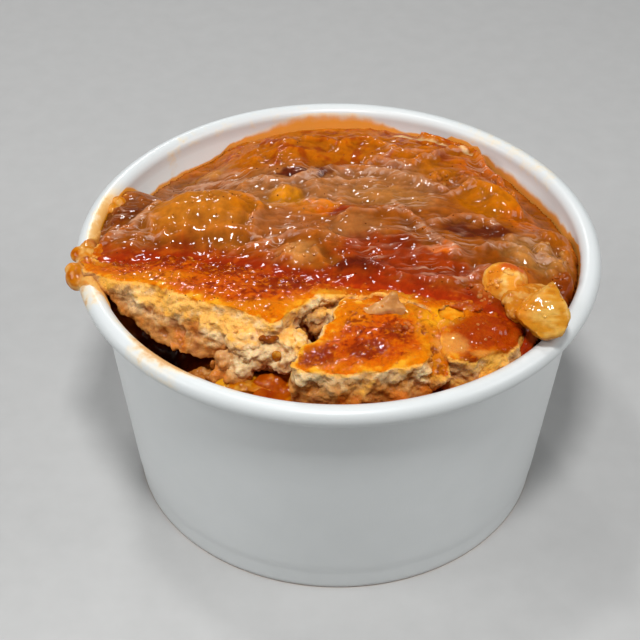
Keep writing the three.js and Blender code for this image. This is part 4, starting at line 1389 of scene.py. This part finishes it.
# %% Fruit finish
def fruit_finish(name, relief_height):
    """Juicy fruit with fine strings in its skin."""
    finish, tint = food_finish(name, (0.004, 0.002, 0.0006), Subsurface_Weight=0.3, Coat_Weight=0.55, IOR=1.4)
    pulp = finish.noise(1.0, 4.0)
    fibre = finish.noise(0.5, 3.0, stretch=(0.3, 1, 1), shift=4.0)
    colour = finish.shade(tint, 0.78 + pulp * 0.28 + fibre * 0.16)
    relief = finish.bump(pulp * 0.6 + fibre * 0.4, relief_height, 0.6)
    return finish.set(Base_Color=colour, Roughness=0.4 + pulp * 0.2, Normal=relief)


fruit = fruit_finish("cooked_fruit", 0.5)
smooth_fruit = fruit_finish("smooth_fruit", 0.15)

# %% [markdown]
# Each piece has a coat of three colours: its own, a lighter one and a darker one. Sauce glazes the two
# clear pieces on the side that the flow came from, and the round one has a blush on top.

# %% Cooked fruit
COATS = {
    "fruit_rim_chunk": (lit(208, 140, 44), lit(230, 182, 94), lit(188, 100, 18)),
    "fruit_round": (lit(236, 158, 56), lit(248, 202, 118), lit(212, 112, 22)),
    "fruit_crust_yellow": (lit(226, 132, 20), lit(236, 160, 44), lit(210, 104, 12)),
    "fruit_under": (lit(206, 126, 14), lit(224, 160, 40), lit(168, 80, 8)),
    "fruit_under_left": (lit(184, 116, 52), lit(200, 144, 82), lit(150, 80, 28)),
}
GLAZES = {  # colour, share, from and to along a direction, noise height, size and shift
    "fruit_rim_chunk": (lit(222, 130, 30), 0.8, 0.5, 4.5, (-0.78, 0.1, 0.5), 1.2, 2.5, 129.0),
    "fruit_round": (lit(204, 112, 30), 0.85, 1.5, 5.0, (-0.6, -0.3, -0.75), 1.4, 2.2, 130.0),
}
clear_fruit = []
for node, coats in COATS.items():
    piece, spots, colours = fruit_body(node, node.replace("fruit_", "cooked_"), *coats)
    if node in GLAZES:
        colour, share, start, end, toward, ragged, size, shift = GLAZES[node]
        along = (spots - middle_of(spots)) @ np.array(toward) + ragged * cloud(spots, size, shift)
        colours = lay(colours, colour, share * smooth(start, end, along))
        clear_fruit.append(piece)
    if node == "fruit_round":
        blush = patch(spots[:, 0], spots[:, 1], (36.6, -18.4), (3.2, 1.9))
        colours = lay(colours, srgb(194, 74, 12), 0.9 * blush)
    keep_colours(piece, colours)
    done(piece, smooth_fruit if node == "fruit_round" else fruit, "fruit", node)

# %% [markdown]
# Thin sauce has run through the torn crumb: it hangs in drops and drips, fills a slit in the crumb and
# lies in small pools under the clumps, on the crust and between the clear fruit. Each is a stretched
# ball, joined to its neighbours by remeshing.

# %% Drops and drips
WET = {  # name: colours, balls
    "sauce_in_slit": ((lit(136, 66, 14), lit(176, 100, 34)), [
        ((-14.2, -36.3, 62.6), (2.0, 0.8, 0.9)), ((-12.6, -36.2, 62.9), (1.1, 0.7, 0.6))]),
    "golden_drops": ((lit(190, 108, 16), lit(212, 150, 56)), [
        ((-12.2, -39.2, 60.6), (1.0, 0.8, 1.5)), ((-19.4, -41.0, 54.3), (3.2, 2.0, 0.7)),
        ((-16.2, -41.2, 54.1), (3.0, 1.7, 0.65)), ((-13.6, -41.4, 53.9), (1.8, 1.2, 0.6))]),
    "tan_drips": ((lit(172, 104, 44), lit(206, 150, 92)), [
        ((-25.6, -35.2, 54.6), (0.7, 0.6, 1.3)), ((-22.8, -36.9, 55.2), (0.6, 0.6, 1.0)),
        ((-28, -34.6, 52.0), (2.4, 1.3, 0.8)), ((-24.6, -36.4, 52.2), (2.9, 1.5, 0.8))]),
    "orange_bit": ((lit(174, 76, 10), lit(200, 112, 30)), [
        ((-13.6, -40.2, 54.4), (3.6, 2.0, 1.5)), ((-10.8, -41.6, 53.4), (3.4, 2.0, 1.2)),
        ((-23.5, -34.4, 56.7), (1.6, 0.8, 0.8)), ((-21.7, -35.5, 56.2), (1.1, 0.8, 0.7))]),
    "glaze_bridge": ((lit(200, 120, 34), lit(218, 160, 84)), [
        ((38, -24.6, 64.8), (4.4, 4.0, 2.3)), ((41.2, -23, 64.2), (3.8, 3.4, 2.2)),
        ((37.6, -28, 64.6), (3.2, 3.4, 2.1))]),
    "syrup_pool": ((lit(176, 72, 12), lit(214, 120, 34)), [
        ((24.2, -27.6, 65.3), (1.4, 1.1, 0.5)), ((26.2, -28.3, 65.4), (1.8, 1.2, 0.6)),
        ((28.4, -28.4, 65.3), (1.5, 1.1, 0.5)), ((27.0, -26.9, 65.3), (1.4, 1.0, 0.5))]),
}
for name, ((colour, light), balls) in WET.items():
    wet_piece = pressed(name, balls, 0.2, 14)
    spots = points_of(wet_piece)
    roughened(wet_piece, 0.4, 1.9, 172.0)
    clouded = smooth(0.0, 0.5, cloud(spots, 1.8, 171.0))
    keep_colours(wet_piece, lay(base_coat(len(spots), colour), light, 0.8 * clouded))
    done(wet_piece, sauce, "sauce")

# %% [markdown]
# The pale sliver has set in the shape of a drop that stands on the crust: balls pressed together, the
# smallest on top.

# %% Pale drop
DROP = [  # balls of centre and half sizes
    ((7.0, -31.2, 66.0), (2.6, 1.5, 1.0)), ((8.8, -30.8, 66.6), (2.1, 1.6, 1.5)),
    ((10.6, -30.3, 67.0), (2.1, 1.8, 2.2)), ((11.3, -30, 68.8), (1.25, 1.15, 1.8)),
    ((12.3, -30.8, 66.6), (1.6, 1.5, 1.7))]
drop = pressed("pale_drop", DROP, 0.26, 14)
spots = points_of(drop)
lumps = cloud(spots, 2.2, 151.0)
roughened(drop, 0.25, 2.2, 151.0)
keep_colours(drop, lay_all(
    base_coat(len(spots), lit(206, 142, 80)),
    (lit(222, 168, 108), 0.8 * smooth(0.0, 0.5, lumps)),
    (lit(204, 104, 20), 1 - smooth(64.8, 66.2, spots[:, 2] + lumps))))
done(drop, fruit, "fruit", "fruit_sliver")

# %% [markdown]
# ## Sauce below the cake
#
# Under the torn edge the cup holds loose sauce, with a hollow at the front left. It starts from the
# packed filling, remeshed and stirred into soft lumps. Its deep parts are painted almost black, as painted
# shade in the hollow.

# %% Filling
filling = merged_copy("sauce_filling", "sauce_below")
finish_with(filling, "REMESH", mode="VOXEL", voxel_size=0.8 * MM)
finish_with(filling, "SMOOTH", factor=0.8, iterations=12)
spots, facing = points_of(filling), normals_of(filling)
top_side = smooth(0.1, 0.5, facing[:, 2])
stir = 0.9 * cloud(spots, 5.0, 131.0) + 0.35 * cloud(spots, 1.8, 132.0)
move_points(filling, spots + facing * (stir * top_side)[:, None])
blotch = cloud(spots, 5.5, 133.0)
# Painted shade: the lower sauce turns almost black, as shade deep in the hollow.
keep_colours(filling, lay_all(
    base_coat(len(spots), lit(170, 78, 12)),
    (lit(212, 128, 22), smooth(0.05, 0.6, blotch)),
    (lit(146, 50, 10), 0.8 * smooth(0.1, 0.7, -blotch)),
    (lit(52, 20, 10), 1 - smooth(42, 52, spots[:, 2] + 2 * blotch))))
done(filling, sauce, "sauce", "sauce_filling")

# %% [markdown]
# ## Drips over the rim
#
# At the left the sauce has run over the rolled rim. A grid is wrapped round the roll and lifted by the
# thickness of the sauce: a thin film, lobes that hang outward, and an edge that dips into the paper. A
# fluid simulation could do it, but a drip that has set is easier to place one by one.

# %% Flow over the rim
def on_roll(direction, around_roll, out):
    """A point on the rolled rim: direction round the cup, then round the roll, in degrees."""
    turn, lean = math.radians(direction), math.radians(around_roll)
    radius = RIM - ROLL + (ROLL + out) * math.cos(lean)
    return (radius * math.cos(turn), radius * math.sin(turn), HEIGHT - ROLL + (ROLL + out) * math.sin(lean))


FRONT = [  # direction round the cup, how far round the roll the sauce has run
    (173, 175), (176, 150), (179, 128), (181, 100), (183, 50), (184.6, 0), (186, -14), (187.3, 16),
    (188.6, 34), (189.8, 26), (190.6, -14), (192.5, -46), (195, -40), (196.8, -8), (198.2, 44), (200, 100),
    (203, 150), (207, 175)]
LOBES = [  # direction, lean, half length in degrees, half width in degrees, height in mm
    (192.6, 4, 3.4, 62, 2.5), (191, 22, 1.6, 34, 2.7), (185.5, 30, 2.1, 44, 1.35), (186.5, 112, 2.6, 36, 0.9),
    (190.4, 96, 2.4, 34, 0.7), (195.2, 104, 3.0, 40, 0.9), (199, 130, 2.4, 34, 0.7)]
bpy.ops.object.select_all(action="DESELECT")
bpy.ops.mesh.primitive_grid_add(x_subdivisions=130, y_subdivisions=60, size=2)
flow = bpy.context.object
flow.name = "rim_flow"
flat = points_of(flow) * MM
turn, lean = 190 + 17 * flat[:, 0], 60 + 125 * flat[:, 1]
run = np.column_stack([turn, lean * 0.04, np.zeros(len(turn))])
ahead = lean - np.interp(turn + 0.5 * cloud(run, 1.4, 142.0), *np.array(FRONT).T)
ahead = ahead + 14 * cloud(run, 2.2, 143.0)
thick = 0.62 * np.sqrt(np.clip(ahead / 30, 0, 1)) - 0.3
for lobe_turn, lobe_lean, half_turn, half_lean, lobe_height in LOBES:
    reach = ((turn - lobe_turn) / half_turn) ** 2 + ((lean - lobe_lean) / half_lean) ** 2
    thick = np.maximum(thick, (lobe_height + 0.3) * np.sqrt(np.clip(1 - reach, 0, 1)) - 0.3)
thick = thick + 0.16 * cloud(run, 1.3, 144.0) * smooth(0.0, 0.5, thick)
move_points(flow, np.array([on_roll(t, a, out) for t, a, out in zip(turn, lean, thick)]))
finish_with(flow, "SMOOTH", factor=0.5, iterations=4)
spots = points_of(flow)
swirl = cloud(spots, 3.0, 141.0)
keep_colours(flow, lay_all(
    base_coat(len(spots), lit(206, 120, 24)),
    (lit(228, 168, 88), 0.9 * smooth(0.0, 0.5, swirl)),
    (lit(176, 84, 10), smooth(0.1, 0.7, -swirl)),
    (lit(236, 190, 116), 0.7 * (1 - smooth(0.0, 0.5, thick)))))
done(flow, sauce, "sauce", "sauce_drip_large", "sauce_drip_small")

# %% [markdown]
# Thick drops cling to the inside of the wall beside the flow. They are balls pressed together, placed
# round the same roll.

# %% Drops on the wall
BLOBS = [(on_roll(163.5, 178, 0.6), (2.0, 2.0, 1.9)), (on_roll(166.5, 172, 0.5), (1.6, 2.2, 1.4)),
         (on_roll(160, 186, 1.2), (1.3, 1.3, 1.2))]
blobs = pressed("wall_blobs", BLOBS, 0.25, 8)
spots = points_of(blobs)
clouded = smooth(0.1, 0.6, cloud(spots, 2.0, 145.0))
keep_colours(blobs, lay(base_coat(len(spots), lit(204, 120, 14)), lit(222, 160, 80), 0.8 * clouded))
done(blobs, sauce, "sauce")

# %% [markdown]
# ## Beads and specks
#
# Small bubbles and beads of syrup stand on the glaze, and specks of spice lie in it. One ball gives the
# points of all of them; each is set down on the topmost surface by a ray cast.

# %% Scatter
ground_tree = cast_tree(skin, slab, front, drop, *clear_fruit)


def scatter(name, spots, flatness, subdivisions):
    """Sets one ball down at every [x, y, radius] and joins them into one piece."""
    bpy.ops.object.select_all(action="DESELECT")
    bpy.ops.mesh.primitive_ico_sphere_add(subdivisions=subdivisions, radius=1)
    ball = bpy.context.object
    shell = points_of(ball) * MM
    corners = np.array([list(face.vertices) for face in ball.data.polygons])
    points, faces = [], []
    for spot_x, spot_y, radius in spots:
        hit, normal = ground_tree.ray_cast(Vector((spot_x, spot_y, CAST_FROM)), DOWN)[:2]
        if hit is None or hit.z < 50 or normal.z < 0.35:  # beside the food, or too steep to stay on
            continue
        turn = np.array(normal.to_track_quat("Z", "Y").to_matrix())
        shape_here = shell * radius * np.array([1, 1, flatness])
        faces.append(corners + sum(len(p) for p in points))
        points.append(shape_here @ turn.T + np.array(hit))
    ball.data.clear_geometry()
    ball.data.from_pydata([tuple(p * MM) for p in np.vstack(points)], [], np.vstack(faces).tolist())
    ball.data.update()
    ball.name = name
    print(name, len(points))
    return ball


# %% [markdown]
# Beads gather in heaps, and along the front edge of the sauce. Their places are drawn from seeded dice,
# so they fall the same way every time. Each bead takes the colour of what it stands on.

# %% Beads
dice = np.random.default_rng(11)
HEAPS = [  # x, y, spread across, spread along, count, smallest, largest
    (2, -42, 8, 5, 34, 0.2, 0.45), (27, -35, 8, 6, 26, 0.2, 0.45), (29, -23, 2.5, 2.5, 9, 0.4, 0.75),
    (26, -28.5, 2.6, 1.4, 9, 0.5, 0.9), (12.6, -35.5, 2.4, 2.4, 12, 0.35, 0.8), (-30, 8, 8, 3, 8, 0.3, 0.7),
    (24, 26, 2.4, 2.6, 9, 0.4, 0.8), (-50, 4, 3, 6, 8, 0.3, 0.6), (48, -6, 3, 6, 10, 0.4, 0.9),
    (-42, -13, 5, 3, 12, 0.2, 0.5), (40, -10, 5, 5, 8, 0.3, 0.7), (34, 28, 5, 5, 8, 0.3, 0.6),
    (-24, 42, 6, 4, 7, 0.3, 0.6), (-8, -10, 4, 3, 6, 0.3, 0.6), (34, -21, 3, 2, 12, 0.3, 0.6),
    (40, -26, 2.4, 2, 12, 0.3, 0.7), (46, -30, 4, 3, 10, 0.2, 0.5),
    (37.6, -32, 1.4, 1.6, 12, 0.25, 0.5), (31.5, -23.5, 1, 1.6, 8, 0.25, 0.5), (21, -44, 2, 2, 8, 0.2, 0.4)]
bead_spots = []
for heap_x, heap_y, across, along, count, low, high in HEAPS:
    for _ in range(count):
        bead_x, bead_y = dice.normal(heap_x, across * 0.6), dice.normal(heap_y, along * 0.6)
        bead_spots.append((bead_x, bead_y, dice.uniform(low, high)))
for _ in range(80):
    bead_x = dice.uniform(-50, 24)
    bead_y = np.interp(bead_x, edge_x, edge_y) + dice.normal(-2.5, 2.4)
    bead_spots.append((bead_x, bead_y, dice.uniform(0.18, 0.42)))
beads = scatter("syrup_beads", bead_spots, 0.62, 2)
spots = points_of(beads)
tinted = [(points_of(piece)[::3], colours_of(piece)[::3]) for piece in (skin, slab, front, *clear_fruit)]
near_points, near_colours = np.vstack([t[0] for t in tinted]), np.vstack([t[1] for t in tinted])
tree = nearest_tree(near_points)
colours = near_colours[[tree.find(Vector(spot))[1] for spot in spots]]
colours = lay(colours, lit(222, 160, 84), 0.35 * smooth(-0.1, 0.5, cloud(spots, 3.0, 161.0)))
keep_colours(beads, colours)
done(beads, sauce, "sauce")

# %% [markdown]
# Specks of spice are fewer, flatter and dark, and lie anywhere on the food.

# %% Specks
SPECKS = 170
speck_spots = []
while len(speck_spots) < SPECKS:
    speck_x, speck_y = dice.uniform(-48, 48), dice.uniform(-30, 50)
    if math.hypot(speck_x, speck_y) < 50:
        speck_spots.append((speck_x, speck_y, dice.uniform(0.12, 0.24)))
specks = scatter("spice_specks", speck_spots, 0.5, 1)
keep_colours(specks, base_coat(len(specks.data.vertices), lit(104, 48, 18)))
done(specks, sauce, "sauce")
